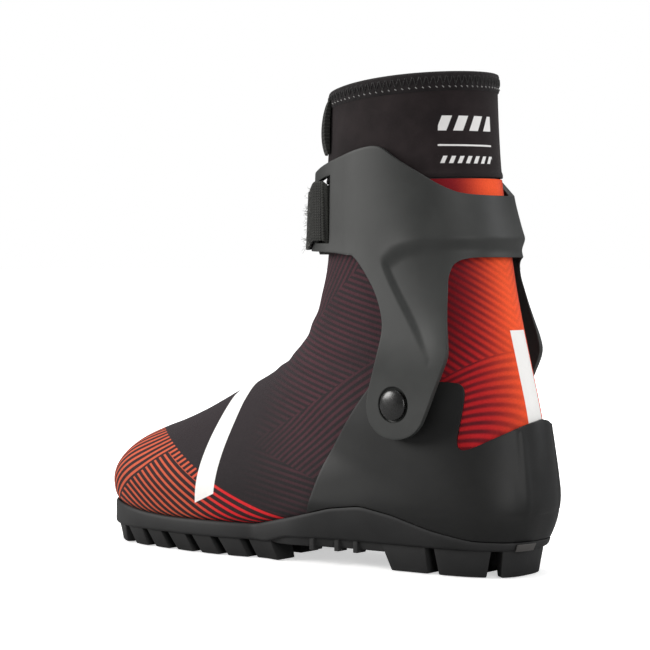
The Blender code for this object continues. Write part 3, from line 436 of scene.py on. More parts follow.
# ---------------------------------------------------------------- print of the upper
def print_fabric():
    """Printed stretch fabric: striped toe, faint herringbone over the arch and ankle, red heel.

    The stored print vector holds x, the distance round the boot from its dorsal line, and z.
    """
    p = Paint("print_fabric", roughness=0.75, specular=0.18, sheen=0.04)
    _, (x, g, z) = p.attribute("print")
    flat, (along, round_, across) = p.attribute("cloth")

    black = (0.016, 0.0125, 0.014)
    plum = (0.024, 0.0165, 0.0195)
    burgundy = (0.072, 0.023, 0.032)
    toe_dark = (0.030, 0.011, 0.012)
    orange = (0.60, 0.100, 0.046)
    red = (0.70, 0.016, 0.022)
    # painted shade: the heel red as it looks in shade
    painted_shade_crimson = (0.25, 0.005, 0.011)
    heel_red = (0.60, 0.014, 0.020)
    heel_orange = (1.0, 0.105, 0.026)
    heel_dark = (0.085, 0.007, 0.014)

    # toe: one set of stripes runs back over the top, the other falls from it to the sole
    from_tip = x + 103
    bend = (from_tip * from_tip + 36.0).do("SQRT") + from_tip
    top_run = g + bend * 0.2 + x * 0.05
    from_ball = x + 60
    fall = g - (from_ball * 0.95 - from_ball * from_ball * 0.00125)
    on_toe = fall.above(64.3)
    on_top = top_run.below(48.2).most(fall.below(70.5) * x.below(-50.0))
    top_stripes = (top_run + 0.5).stripes(4.6, 0.44)
    side_stripes = (fall - 0.4).stripes(4.1, 0.40)
    toe_stripes = (top_stripes * on_top).most(side_stripes * on_top.flip())
    stripe_colour = p.mix(x.ramp(-72, -35), orange, red)
    toe = p.mix(toe_stripes, toe_dark, stripe_colour)

    # arch and ankle herringbone
    ankle = z - x * 0.55 - 78.8
    arch = z + x * 0.35 - 53.6
    upper = z - x * 0.76 - 122.5
    ankle_lines = (z + x * 0.25).stripes(3.3, 0.5, 0.5)
    arch_lines = (z - x * 0.92 + (x * x) * 0.0035).stripes(4.3, 0.48, 0.6)
    sole_lines = (z + x * 0.2).stripes(3.2, 0.45, 0.5)
    steep_lines = (z - x * 1.3).stripes(5.2, 0.5, 0.7)
    lines = (arch_lines * arch.above(0)).most(sole_lines * arch.below(0))
    lines = (lines * ankle.below(0)).most(ankle_lines * ankle.above(0) * upper.below(0))
    lines = lines.most(steep_lines * upper.above(0))
    fade = x.ramp(-34, 12) * (z - x * 0.25).ramp(20, 75, 0.45, 1.0)
    mottle = p.noise(flat, 26.0, 2.0)
    base = p.mix((z - x * 0.3).ramp(30, 120), black, plum)
    foot = p.mix(lines * fade * mottle.ramp(0.2, 0.6, 0.55, 1.0), base, burgundy)

    # heel: red turning orange towards the back, darker stripes across it; the darker crimson towards its
    # front is painted shade
    from_back = g - 131
    low_heel = z - from_back * 0.75 + from_back * from_back * 0.012
    low_edge = 105.8
    high_lines = (z + (g - 130) * 0.52).stripes(3.5, 0.5, 0.7)
    low_lines = low_heel.stripes(4.6, 0.5, 0.8)
    heel_lines = (high_lines * low_heel.above(low_edge)).most(low_lines * low_heel.below(low_edge))
    # painted shade: the red darkens to crimson towards the front of the heel
    heel_print_and_shade = p.mix(g.ramp(116, 146), painted_shade_crimson, heel_red)
    heel_print_and_shade = p.mix(abs(across).ramp(2, 25).flip(), heel_print_and_shade, heel_orange)
    strength = heel_lines * abs(across).ramp(2, 26, 0.15, 0.9) * mottle.ramp(0.25, 0.65, 0.7, 1.0)
    strength = strength * z.below(185, 6.0)
    heel = p.mix(strength, heel_print_and_shade, heel_dark)

    colour = p.mix(x.above(84.0, 1.5), foot, heel)
    colour = p.mix(on_toe * x.below(40.0), colour, toe)

    # plain white bands: one straight over the forefoot, one up the middle of the heel
    half_band = 6.5
    fore_band = abs(x + 52.0).below(half_band, 0.15) * g.below(84.0, 0.15)
    heel_band = abs(across).below(half_band, 0.15) * z.below(128.0, 0.15) * x.above(90.0)
    bands = fore_band.most(heel_band)
    colour = p.mix(bands, colour, (0.88, 0.87, 0.85))

    # fine knit: short vertical loops
    rib = abs(round_.do("PINGPONG", 0.42) - 0.21) * 4.0
    loop = abs((along + round_ * 0.5).do("PINGPONG", 0.5) - 0.25) * 3.2
    grain = p.noise(flat, 0.8, 2.0)
    height = rib * 0.45 + loop * 0.35 + grain * 0.5
    shadow = (rib * 0.5 + grain).ramp(0.25, 1.1, 0.0, 0.22) * (bands * -0.8 + 1.0)
    shade = p.mix(shadow, colour, (0.0, 0.0, 0.0))
    rough = grain.ramp(0.2, 0.8, 0.64, 0.82) - bands * 0.12
    return p.finish(shade, rough, height, 0.16, 0.55)


def knit(name, colour, lighter, stitch, sheen):
    """Soft stretch knit with a slight mottling, used for the collar, hem and lining."""
    p = Paint(name, roughness=0.85, specular=0.15, sheen=sheen)
    flat, (along, round_, third) = p.attribute("cloth")
    rib = abs(round_.do("PINGPONG", stitch / 2) - stitch / 4) * (4 / stitch)
    loop = abs((along + rib * 0.3).do("PINGPONG", stitch / 2) - stitch / 4) * (4 / stitch)
    cloud = p.noise(flat, 14.0, 4.0)
    lint = p.noise(p.stretch(flat, 1.0, 2.2, 1.0), 0.9, 2.0)
    tone = p.mix(cloud.ramp(0.3, 0.75) * 0.6 + rib * 0.22 + lint * 0.18, colour, lighter)
    height = rib * 0.5 + loop * 0.3 + lint * 0.5
    return p, tone, lint.ramp(0.2, 0.8, 0.75, 0.95), height, round_, third


def black_knit():
    """Collar knit with a plain printed rule and a row of small slanted dashes at its lower rear."""
    p, tone, rough, height, g, outer_side = knit("black_knit", (0.011, 0.008, 0.0085),
                                                 (0.024, 0.0175, 0.0185), 0.9, 0.06)
    _, (_, _, z) = p.attribute("print")
    rule = abs(z - 224.5).below(0.45, 0.1) * g.above(107.0, 0.2)
    dashes = (g - z * 0.35 + 2.0).stripes(4.6, 0.5, 0.12) * abs(z - 217.0).below(1.9, 0.1)
    dashes = dashes * g.above(108.0, 0.2)
    blocks = (g - z * 0.35).stripes(9.0, 0.6, 0.15) * abs(z - 236.0).below(3.9, 0.15)
    blocks = blocks * g.above(106.5, 0.2)
    ink = rule.most(dashes).most(blocks) * outer_side.above(0.5)
    colour = p.mix(ink, tone, (0.78, 0.77, 0.76))
    return p.finish(colour, rough, height, 0.2, 0.5)


def plain_knit(name, colour, lighter, stitch, sheen=0.12):
    p, tone, rough, height, _, _ = knit(name, colour, lighter, stitch, sheen)
    return p.finish(tone, rough, height, 0.3, 0.6)


def moulded(name, colour, lighter, roughness, grain_size, grain_depth, worn):
    """Moulded plastic or rubber: fine spark-eroded grain, handling marks, paler worn edges."""
    p = Paint(name, roughness=roughness, specular=0.32)
    place = p.millimetres()
    cloud = p.noise(place, 30.0, 3.0)
    grain = p.noise(place, grain_size, 3.0, 0.6)
    scuff = p.noise(p.stretch(place, 1.0, 1.0, 0.25), 2.6, 4.0, 0.7)
    tone = p.mix(cloud.ramp(0.3, 0.7) * 0.7 + grain * 0.3, colour, lighter)
    edges = p.sharpness().ramp(0.52, 0.62) * scuff.ramp(0.35, 0.7, 0.2, 1.0)
    tone = p.mix(edges, tone, worn)
    rough = (cloud * 0.10 + grain * 0.10 + scuff * 0.06) + (roughness - 0.13)
    return p.finish(tone, rough, grain + scuff * 0.25, grain_depth, 0.6)


def webbing():
    """Narrow woven tape: slanted picks in raised warp columns."""
    p = Paint("webbing", roughness=0.85, specular=0.2, sheen=0.08)
    flat, (along, across, _) = p.attribute("cloth")
    column = along.do("PINGPONG", 0.95) / 0.95
    picks = (across + column * 0.7).do("PINGPONG", 0.7) / 0.7
    lint = p.noise(flat, 0.7, 3.0)
    worn = p.noise(flat, 7.0, 3.0)
    weave = (column * 0.5 + picks * 0.4 + lint * 0.3) * (column * 0.5 + 0.5)
    # painted shade: the near-black in the gaps between the raised warp columns; the lighter tones are the
    # tape's dark yarn
    tone = p.mix(weave, (0.002, 0.002, 0.002), (0.040, 0.041, 0.036))
    tone = p.mix(worn.ramp(0.5, 0.8) * 0.3, tone, (0.055, 0.056, 0.05))
    return p.finish(tone, lint.ramp(0.2, 0.8, 0.72, 0.95), column + picks * 0.8 + lint * 0.3, 0.5, 1.0)


def hook_tape():
    p = Paint("hook_tape", roughness=0.9, specular=0.2, sheen=0.2)
    flat, _ = p.attribute("cloth")
    loops = p.grains(flat, 0.8)
    fuzz = p.noise(flat, 1.4, 4.0)
    tone = p.mix(loops * 0.7 + fuzz * 0.3, (0.02, 0.02, 0.02), (0.10, 0.10, 0.10))
    return p.finish(tone, fuzz.ramp(0.2, 0.8, 0.8, 1.0), loops + fuzz * 0.5, 0.4, 0.9)


def fibre(name, colour, lighter):
    """Single threads and hairs."""
    p = Paint(name, roughness=0.7, specular=0.3, sheen=0.2)
    place = p.millimetres()
    twist = p.noise(p.stretch(place, 3.0, 3.0, 1.0), 0.6, 2.0)
    return p.finish(p.mix(twist, colour, lighter), twist.ramp(0.2, 0.8, 0.6, 0.85), twist, 0.05, 0.5)


def metal(name, colour, lighter, roughness):
    """Brushed and lightly scratched metal."""
    p = Paint(name, roughness=roughness, metallic=1.0)
    place = p.millimetres()
    brush = p.noise(p.stretch(place, 0.4, 6.0, 6.0), 0.8, 4.0, 0.7)
    marks = p.noise(place, 3.5, 3.0)
    tone = p.mix(marks * 0.6 + brush * 0.4, colour, lighter)
    rough = brush * 0.14 + marks * 0.1 + (roughness - 0.12)
    return p.finish(tone, rough, brush, 0.02, 0.4)


def cap_plastic():
    """Polished dark rivet cap with handling marks."""
    p = Paint("cap_plastic", roughness=0.28, specular=0.5)
    place = p.millimetres()
    marks = p.noise(place, 2.2, 4.0, 0.65)
    dust = p.noise(place, 0.5, 2.0)
    tone = p.mix(marks.ramp(0.3, 0.8) * 0.6 + dust * 0.2, (0.004, 0.0039, 0.0038), (0.009, 0.0088, 0.0085))
    return p.finish(tone, marks.ramp(0.2, 0.8, 0.24, 0.32), marks + dust * 0.3, 0.004, 0.2)


def fibre_plate():
    """Woven fibre plate under a clear coat."""
    p = Paint("fibre_plate", roughness=0.35, coat=0.5)
    place = p.millimetres()
    x, y = p.split(place)[:2]
    twill = abs((x + y).do("PINGPONG", 1.2) - 0.6) * 1.6
    weave = twill.most(abs((x - y).do("PINGPONG", 1.2) - 0.6) * 1.6)
    tone = p.mix(weave, (0.012, 0.012, 0.013), (0.06, 0.06, 0.064))
    return p.finish(tone, weave.ramp(0, 1, 0.28, 0.42), weave, 0.1, 0.5)


def label_film():
    """Blank moulded size plate."""
    p = Paint("label_film", roughness=0.5, specular=0.45)
    place = p.millimetres()
    grain = p.noise(place, 0.5, 2.0)
    cloud = p.noise(place, 4.0, 2.0)
    tone = p.mix(cloud * 0.7 + grain * 0.3, (0.045, 0.042, 0.04), (0.085, 0.08, 0.076))
    return p.finish(tone, grain.ramp(0.2, 0.8, 0.42, 0.6), grain, 0.05, 0.4)


# ---------------------------------------------------------------- mesh helpers
def add_object(name, data):
    obj = bpy.data.objects.new(name, data)
    bpy.context.scene.collection.objects.link(obj)
    return obj


def new_mesh(name, verts, faces, near, attributes=None):
    """Mesh from design-frame millimetres, points nearer than near (m) merged and faces turned outwards."""
    mesh = bpy.data.meshes.new(name)
    local = (np.asarray(verts, float) + np.array(SHIFT)) / 1000
    mesh.from_pydata([tuple(v) for v in local], [], [list(f) for f in faces])
    for key, values in (attributes or {}).items():
        layer = mesh.attributes.new(key, "FLOAT_VECTOR", "POINT")
        layer.data.foreach_set("vector", np.asarray(values, np.float32).reshape(-1))
    bm = bmesh.new()
    bm.from_mesh(mesh)
    bmesh.ops.remove_doubles(bm, verts=bm.verts, dist=near)
    bmesh.ops.recalc_face_normals(bm, faces=bm.faces)
    bm.to_mesh(mesh)
    bm.free()
    return mesh


def make(name, verts, faces, material, bevel=0.0, segments=3, angle=35.0, bevel_angle=50.0, attributes=None):
    """A piece from design-frame millimetres, with its edges rounded and its shading smoothed."""
    mesh = new_mesh(name, verts, faces, 1e-6, attributes)
    obj = add_object(name, mesh)
    mesh.materials.append(material)
    if bevel:
        round_edges(obj, bevel, segments, bevel_angle)
    shade(obj, angle)
    return obj


def doubled(grid):
    """A grid's vectors twice over, for its outer and its inner face."""
    flat = grid.reshape(-1, 3)
    return np.concatenate([flat, flat])


def alike(vectors):
    """The same vectors as both stored attributes."""
    return {"cloth": vectors, "print": vectors}


def bake(obj):
    """Replaces the mesh by its evaluated one and drops the modifiers."""
    depsgraph = bpy.context.evaluated_depsgraph_get()
    mesh = bpy.data.meshes.new_from_object(obj.evaluated_get(depsgraph))
    obj.modifiers.clear()
    obj.data = mesh


def round_edges(obj, width, segments=3, angle=50.0):
    mod = obj.modifiers.new("bevel", "BEVEL")
    mod.width = width / 1000
    mod.segments = segments
    mod.limit_method = "ANGLE"
    mod.angle_limit = math.radians(angle)
    mod.use_clamp_overlap = True
    mod.harden_normals = False
    bake(obj)


def shade(obj, angle=35.0):
    obj.data.shade_smooth()
    obj.data.set_sharp_from_angle(angle=math.radians(angle))


def cut(obj, verts, faces, operation="DIFFERENCE"):
    """Takes a solid from the piece, or joins it on."""
    mesh = new_mesh("tool", verts, faces, 1e-7)
    tool = add_object("tool", mesh)
    mod = obj.modifiers.new("cut", "BOOLEAN")
    mod.operation = operation
    mod.solver = "EXACT"
    mod.object = tool
    bake(obj)
    bpy.data.objects.remove(tool)
    bpy.data.meshes.remove(mesh)


def sheet_solid(outer, inner):
    """Closed solid from two matching grids of points."""
    rows, cols = outer.shape[:2]
    count = rows * cols
    verts = np.concatenate([outer.reshape(-1, 3), inner.reshape(-1, 3)])
    faces = []
    edges = {}
    for quad in mesh_faces(rows, cols, closed=False):
        faces.append(quad)
        faces.append([count + k for k in quad[::-1]])
        for a, b in zip(quad, quad[1:] + quad[:1]):
            edges[(a, b)] = True
    for a, b in edges:
        if (b, a) not in edges:
            faces.append([b, a, count + a, count + b])
    return verts, faces


def tubes(paths, radius, sides=6, taper=1.0):
    """Round threads along lists of points, all in one mesh."""
    verts = []
    faces = []
    for path in paths:
        p = np.array(path, float)
        d = np.gradient(p, axis=0)
        d /= np.linalg.norm(d, axis=1, keepdims=True) + 1e-9
        up = np.array([0.31, 0.17, 0.93])
        a = np.cross(d, up)
        a /= np.linalg.norm(a, axis=1, keepdims=True) + 1e-9
        b = np.cross(d, a)
        base = len(verts)
        n = len(p)
        for i in range(n):
            r = radius * (1 - (1 - taper) * i / max(n - 1, 1))
            for k in range(sides):
                w = 2 * math.pi * k / sides
                verts.append(p[i] + (a[i] * math.cos(w) + b[i] * math.sin(w)) * r)
        faces += mesh_faces(n, sides, base=base)
        faces.append([base + k for k in range(sides)][::-1])
        faces.append([base + (n - 1) * sides + k for k in range(sides)])
    return verts, faces


def turned(profile, x, z, sides, sign):
    """Turned solid about a line along Y: profile is (distance along Y, radius) pairs."""
    verts = []
    for d, r in profile:
        for k in range(sides):
            a = 2 * math.pi * k / sides
            verts.append((x + r * math.cos(a), sign * d, z + r * math.sin(a)))
    rows = len(profile)
    last = (rows - 1) * sides
    faces = mesh_faces(rows, sides) + [list(range(sides)), [last + k for k in range(sides)]]
    return verts, faces


def girth(points):
    """Distance round each row of a closed grid from its first column, the shorter way."""
    step = np.linalg.norm(np.roll(points, -1, axis=1) - points, axis=2)
    total = step.sum(axis=1, keepdims=True)
    run = np.concatenate([np.zeros((len(points), 1)), np.cumsum(step, axis=1)[:, :-1]], axis=1)
    return np.minimum(run, total - run)


def outer_half(points):
    """1 on the outer side of a closed grid, 0 on the inner."""
    return np.where(points[..., 1] < 0, 1.0, 0.0)


def length_along(points, column):
    """Distance down the grid from its first row, measured on one column."""
    step = np.linalg.norm(np.diff(points[:, column], axis=0), axis=1)
    return np.concatenate([[0], np.cumsum(step)])[:, None] * np.ones(points.shape[1])[None, :]


def ankle_folds(t, th):
    """Soft cross folds where the fabric bends over the instep."""
    place = np.exp(-((t - 5.6) / 1.7) ** 2) * np.clip(np.cos(th), 0, 1) ** 0.7
    wave = np.sin(t * 5.4 + 1.3 * np.cos(2 * th)) + 0.5 * np.sin(t * 8.7 - 2.0 * np.cos(th))
    return 0.38 * place * wave


def sock(name, skin, outer, inner, third, closed_end, material):
    """Shell between two grids round the foot form, with its print and cloth vectors."""
    rows, cols = skin.shape[:2]
    n = rows * cols
    around = girth(skin)
    marks = np.stack([skin[..., 0], around, skin[..., 2]], -1)
    cloth = np.stack([length_along(skin, cols // 4), around, third], -1)
    faces = mesh_faces(rows, cols) + mesh_faces(rows, cols, base=n, flip=True)
    last = n - cols
    for j in range(cols):
        k = (j + 1) % cols
        faces.append([j, k, n + k, n + j])
        if not closed_end:
            faces.append([last + k, last + j, n + last + j, n + last + k])
    if closed_end:
        faces.append([last + j for j in range(cols)])
        faces.append([n + last + j for j in range(cols)][::-1])
    verts = np.concatenate([outer.reshape(-1, 3), inner.reshape(-1, 3)])
    attributes = {"print": doubled(marks), "cloth": doubled(cloth)}
    return make(name, verts, faces, material, angle=60.0, attributes=attributes)


def folded_sock(name, ts, cols, outer, inner, material):
    """Sock between two offsets of the foot form, closed at the toe, with the ankle's folds."""
    t = ts[:, None]
    th = turn_angles(cols)
    skin = form(t, th)
    folds = ankle_folds(t, th)
    return sock(name, skin, form(t, th, outer + folds), form(t, th, inner + folds),
                skin[..., 1], True, material)


BODY = "boot"
CUFF_BODY = "ankle_cuff"


# ---------------------------------------------------------------- upper, collar and lining
def upper_skin(paint):
    """Printed stretch fabric from the collar seam to the toe."""
    ts = np.concatenate([np.linspace(1.93, 7.0, 100), np.linspace(7.05, 17.0, 190),
                         np.linspace(17.03, LAST, 16)])
    obj = folded_sock("upper_skin", ts, 300, 0.0, -UPPER, paint)
    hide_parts("upper_foot", "upper_shaft")
    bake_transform(obj)


def inner_sock(paint):
    """Soft knit lining of foot and shaft in one piece."""
    ts = np.concatenate([np.linspace(0.05, 7.0, 90), np.linspace(7.1, 17.0, 100)])
    obj = folded_sock("inner_sock", ts, 160, LINING_OUT, LINING_IN, paint)
    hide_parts("lining_foot", "lining_shaft")
    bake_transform(obj)


def collar(paint):
    """Knit collar whose lower edge laps over the printed fabric."""
    t = np.linspace(0.06, 1.90, 60)[:, None]
    th = turn_angles(240)
    lap = 0.45 * np.clip((t - 1.78) / 0.06, 0, 1) * np.clip((1.915 - t) / 0.02, 0, 1)
    skin = form(t, th)
    obj = sock("ankle_collar", skin, form(t, th, 0.15 + lap), form(t, th, -UPPER),
               outer_half(skin), False, paint)
    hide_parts("collar")
    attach(obj, CUFF_BODY)


def collar_hem(paint):
    """Knit folded over the rim; the fold is held down by the zig-zag thread."""
    section = ((0.40, 0.25), (0.38, 0.75), (0.30, 0.95), (0.18, 1.05), (0.08, 1.05), (0.02, 0.75), (0.0, 0.0),
               (0.0, -1.6), (0.0, -3.0), (0.02, -3.9), (0.09, -4.4), (0.2, -4.5), (0.32, -4.3), (0.34, -3.7),
               (0.2, -3.5), (0.1, -2.0), (0.2, -0.2), (0.34, 0.0))
    cols = 300
    th = turn_angles(cols)
    outer_part = np.clip((math.pi - np.abs(th - math.pi)) / 0.12, 0, 1)
    rows = []
    down = 0.0
    cloth = []
    for k, (t, off) in enumerate(section):
        pucker = 0.10 * np.sin(th * 72) * (0.5 if off > 0.5 else 0.0)
        ring = form(np.full(cols, t), th, np.full(cols, off) + pucker * outer_part)
        rows.append(ring)
        if k:
            down += float(np.linalg.norm(ring[cols // 4] - rows[-2][cols // 4]))
        cloth.append(np.stack([np.full(cols, down), girth(ring[None])[0], np.zeros(cols)], -1))
    grid = np.array(rows)
    faces = mesh_faces(len(section), cols)
    last = (len(section) - 1) * cols
    for j in range(cols):
        k = (j + 1) % cols
        faces.append([k, j, last + j, last + k])
    obj = make("collar_hem", grid.reshape(-1, 3), faces, paint, angle=80.0,
               attributes=alike(np.concatenate(cloth)))
    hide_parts("collar_binding")
    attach(obj, CUFF_BODY)


def hem_stitches(paint, speck_paint):
    """Zig-zag thread through the hem, and the pale needle points where it dips into the knit."""
    turns = 76
    steps = 8
    start = 0.16
    path = []
    specks = []
    for i in range(turns * steps + 1):
        f = i / (turns * steps)
        th = start + (2 * math.pi - 2 * start) * f
        wave = abs((f * turns) % 1.0 - 0.5) * 2
        t = 0.10 + 0.21 * wave
        height = 1.02 + 0.32 * math.sin(math.pi * wave) ** 0.6 - 0.35 * (wave > 0.97 or wave < 0.03)
        path.append(form(t, th, height))
        if wave > 0.97:
            specks.append([form(0.325, th - 0.008, 0.8), form(0.335, th, 1.2), form(0.345, th + 0.008, 0.75)])
    for name, threads, radius, material in (("hem_stitches", [path], 0.22, paint),
                                            ("hem_specks", specks, 0.27, speck_paint)):
        verts, faces = tubes(threads, radius, 6)
        obj = make(name, verts, faces, material, angle=80.0)
        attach(obj, CUFF_BODY)


# ---------------------------------------------------------------- shells of the boot
CUP_TOP = ((-38, 101), (-10, 101.5), (8, 101), (13.5, 100), (16, 96), (15, 88), (12.5, 76), (11.5, 69),
           (14, 65.8), (20, 66.5), (35, 73), (50, 79.5), (BACK_Q, CUP_BACK_Z))


def cup_low(q):
    """Height of the heel shell's lower edge."""
    x = HEEL_C + q if q < 0 else side(q, 40.0)[0]
    return soft_line(RIM_TOP, x) + 0.45


def heel_cup(paint):
    """Moulded heel shell with a flattened back and hinge bores."""
    first = CUP_FRONT[0][0] - HEEL_C
    front = round_corners([(first, cup_low(first))] + [(x - HEEL_C, z) for x, z in CUP_FRONT[1:]])
    top = round_corners(CUP_TOP, 3)
    back_low = cup_low(BACK_Q)
    rows, cols = 46, 90

    def low(u):
        q = front[0][0] + (BACK_Q - front[0][0]) * u
        return np.array([q, cup_low(q)])

    def back(v):
        return np.array([BACK_Q, back_low + (CUP_BACK_Z - back_low) * v])

    half = coons(lambda v: polyline(front, v), back, low, lambda u: polyline(top, u),
                 np.linspace(0, 1, cols), np.linspace(0, 1, rows))
    full = np.zeros((rows, 2 * cols - 1, 2))
    full[:, :cols] = half
    mirror = half[:, ::-1].copy()
    mirror[..., 0] = 2 * BACK_Q - mirror[..., 0]
    full[:, cols - 1:] = mirror
    outer = np.zeros(full.shape[:2] + (3,))
    inner = outer.copy()
    for i in range(rows):
        for j in range(full.shape[1]):
            q, z = full[i, j]
            ridge = 0.9 * math.exp(-((abs(q - BACK_Q) - 13.0) / 1.6) ** 2) * smooth((z - 26) / 20)
            outer[i, j] = cup_point(q, z, 3.6 + ridge)
            inner[i, j] = cup_point(q, z, 1.2)
    verts, faces = sheet_solid(outer, inner)
    obj = make("heel_shell", verts, faces, paint, bevel=0.7, bevel_angle=60.0)
    for sign in (-1, 1):
        cut(obj, *turned([(30, BORE), (60, BORE)], PIVOT_X, PIVOT_Z, 48, sign))
    shade(obj)
    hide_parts("heel_cup")
    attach(obj, BODY)


CUFF_BLUR = np.linspace(-8.0, 8.0, 9)


def cuff_row(z):
    """Plan values of the cuff wall at height z, blurred so that no row shows."""
    near = z + CUFF_BLUR
    return [float(np.interp(near, CUFF_ROWS[:, 0], CUFF_ROWS[:, k]).mean()) for k in range(1, 5)]


def cuff_flare(x):
    """How far the cuff's front ends stand off the plan curve."""
    return 3.5 * smooth((42 - x) / 30)


def cuff_normal(x, y, z):
    xc, a, b, n = cuff_row(z)
    gx = math.copysign(abs((x - xc) / a) ** (n - 1) / a, x - xc)
    gy = math.copysign(abs(y / b) ** (n - 1) / b, y)
    size = math.hypot(gx, gy)
    return gx / size, gy / size


def cuff_at(x, z, sign, depth=0.0):
    """Cuff wall on one side at a given x; depth is measured inward."""
    xc, a, b, n = cuff_row(z)
    y = sign * b * max(1 - abs((x - xc) / a) ** n, 1e-6) ** (1 / n)
    nx, ny = cuff_normal(x, y, z)
    out = cuff_flare(x) - depth
    return np.array([x + nx * out, y + ny * out, z])


def cuff_turn(beta, z, depth=0.0):
    """Cuff wall at an angle: 0 is the front, 90 lateral, 180 the back."""
    xc, a, b, n = cuff_row(z)
    c, s = math.cos(beta), math.sin(beta)
    x = xc - math.copysign(a * abs(c) ** (2 / n), c)
    y = -math.copysign(b * abs(s) ** (2 / n), s)
    nx, ny = cuff_normal(x, y, z)
    out = cuff_flare(x) - depth
    return np.array([x + nx * out, y + ny * out, z])


def beta_for(x, z):
    """Angle of the cuff wall at a given x on the outer side."""
    xc, a, _, n = cuff_row(z)
    u = (xc - x) / a
    c = math.copysign(abs(u) ** (n / 2), u)
    return math.acos(max(min(c, 1), -1))


def beside(points, x, z):
    """Distance from the point to the line, positive above or to the right of it."""
    p = np.array(points, float)
    a, b = p[:-1], p[1:]
    run = b - a
    f = np.clip(((np.array([x, z]) - a) * run).sum(1) / (run * run).sum(1), 0, 1)
    gap = np.array([x, z]) - (a + run * f[:, None])
    near = int(np.argmin((gap * gap).sum(1)))
    left = run[near][0] * gap[near][1] - run[near][1] * gap[near][0]
    return math.copysign(math.sqrt(float((gap[near] ** 2).sum())), left)


STEP = round_corners(STEP_LINE, 3)
CREASE_SOFT = round_corners(CREASE, 3)


def relief(x, z):
    """Depth of the cuff's face: proud over the step, then slanting in to a sunk side panel."""
    above = beside(STEP, x, z)
    past = beside(CREASE_SOFT, x, z)
    slant = smooth(-above / 8.5)
    fade = 1.0 - smooth((x - 84) / 24) * smooth((144 - z) / 34)
    panel = 2.0 * slant * smooth((past + 0.3) / 2.8) * fade
    lip = 1.35 * smooth((x - 66) / 26) * (1 - slant) * math.exp(-max(above, 0) / 13)
    return panel - lip * smooth((past + 2.0) / 6.0)


def cuff(paint):
    """Stiff ankle cuff: a band with two arms down to the hinge."""
    front_x = [13.0, 15.5, 18.0, 20.5, 23.2, 26.0, 28.8, 31.5] + list(np.linspace(33.0, 49.4, 13))
    arm_x = list(np.linspace(49.4, 107.5, 42))[1:]
    beta = [beta_for(x, 185.0) for x in front_x] + [beta_for(x, 165.0) for x in arm_x]
    last = beta[-1]
    back = 26
    beta += [last + (math.pi - last) * k / back for k in range(1, back + 1)]
    beta = beta + [2 * math.pi - b for b in beta[-2::-1]]
    band_f = [0, 0.025, 0.06, 0.1] + list(np.linspace(0.13, 0.82, 28)) + [0.85, 0.89, 0.93, 0.97, 1.0]
    slot_rows = (3, 3 + 29)
    slot_cols = (3, 7)
    top = round_corners(CUFF_TOP, 2)
    low = round_corners(CUFF_LOW, 1)
    first = len(front_x) - 1
    width = len(arm_x) + 1
    rows = 64
    layers = []
    for depth in (0.0, CUFF):
        verts = []
        band = np.zeros((len(band_f), len(beta)), int)
        for i, f in enumerate(band_f):
            for j, b in enumerate(beta):
                z_low = float(np.interp(cuff_turn(b, 165.0)[0], low[:, 0], low[:, 1]))
                z_top = float(np.interp(cuff_turn(b, 195.0)[0], top[:, 0], top[:, 1]))
                z = (1 - f) * z_low + f * z_top
                sunk = relief(cuff_turn(b, z)[0], z) if depth == 0 else 0.0
                band[i, j] = len(verts)
                verts.append(cuff_turn(b, z, depth + sunk))
        faces = []
        for i in range(len(band_f) - 1):
            for j in range(len(beta) - 1):
                if not (slot_rows[0] <= i < slot_rows[1] and slot_cols[0] <= j < slot_cols[1]):
                    faces.append((band[i, j], band[i, j + 1], band[i + 1, j + 1], band[i + 1, j]))
        end_edge = round_corners(ARM_END, 2)
        for sign in (-1, 1):
            tops = list(range(first, first + width))
            if sign > 0:
                tops = [len(beta) - 1 - k for k in tops]
            places = [cuff_turn(beta[k], float(verts[band[0, k]][2])) for k in tops]
            top_xz = [(p[0], p[2]) for p in places]
            front_edge = round_corners(ARM_FRONT[:0:-1] + (top_xz[0],), 2)
            rear_edge = round_corners(ARM_REAR[:0:-1] + (top_xz[-1],), 2)
            steps = np.linalg.norm(np.diff(np.array(top_xz), axis=0), axis=1)
            shares = np.concatenate([[0], np.cumsum(steps)])
            arm = coons(lambda v: polyline(front_edge, v), lambda v: polyline(rear_edge, v),
                        lambda u: polyline(end_edge, u), lambda u: polyline(top_xz, u),
                        shares / shares[-1], np.linspace(0, 1, rows))
            index = np.zeros((rows, width), int)
            index[rows - 1] = [band[0, k] for k in tops]
            for i in range(rows - 1):
                for j in range(width):
                    x, z = arm[i, j]
                    sunk = relief(x, z) if depth == 0 else 0.0
                    index[i, j] = len(verts)
                    verts.append(cuff_at(x, z, sign, depth + sunk))
            for i in range(rows - 1):
                for j in range(width - 1):
                    quad = (index[i, j], index[i, j + 1], index[i + 1, j + 1], index[i + 1, j])
                    faces.append(quad if sign < 0 else quad[::-1])
        layers.append(np.array(verts))
    n = len(layers[0])
    solid = [list(f) for f in faces] + [[n + k for k in f[::-1]] for f in faces]
    edges = set()
    for f in faces:
        for a, b in zip(f, f[1:] + f[:1]):
            edges.add((a, b))
    for a, b in edges:
        if (b, a) not in edges:
            solid.append([b, a, n + a, n + b])
    obj = make("cuff_shell", np.concatenate(layers), solid, paint, bevel=0.75, bevel_angle=62.0)
    for sign in (-1, 1):
        cut(obj, *turned([(38, BORE), (55, BORE)], PIVOT_X, PIVOT_Z, 48, sign))
        seat = [(ARM_Y + d, r) for d, r in ((-1.3, 9.0), (-1.1, 9.25), (-0.35, 9.25), (0.1, 9.75), (6, 10.5))]
        cut(obj, *turned(seat, PIVOT_X, PIVOT_Z, 96, sign))
    shade(obj, 40.0)
    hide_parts("cuff")
    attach(obj, CUFF_BODY)


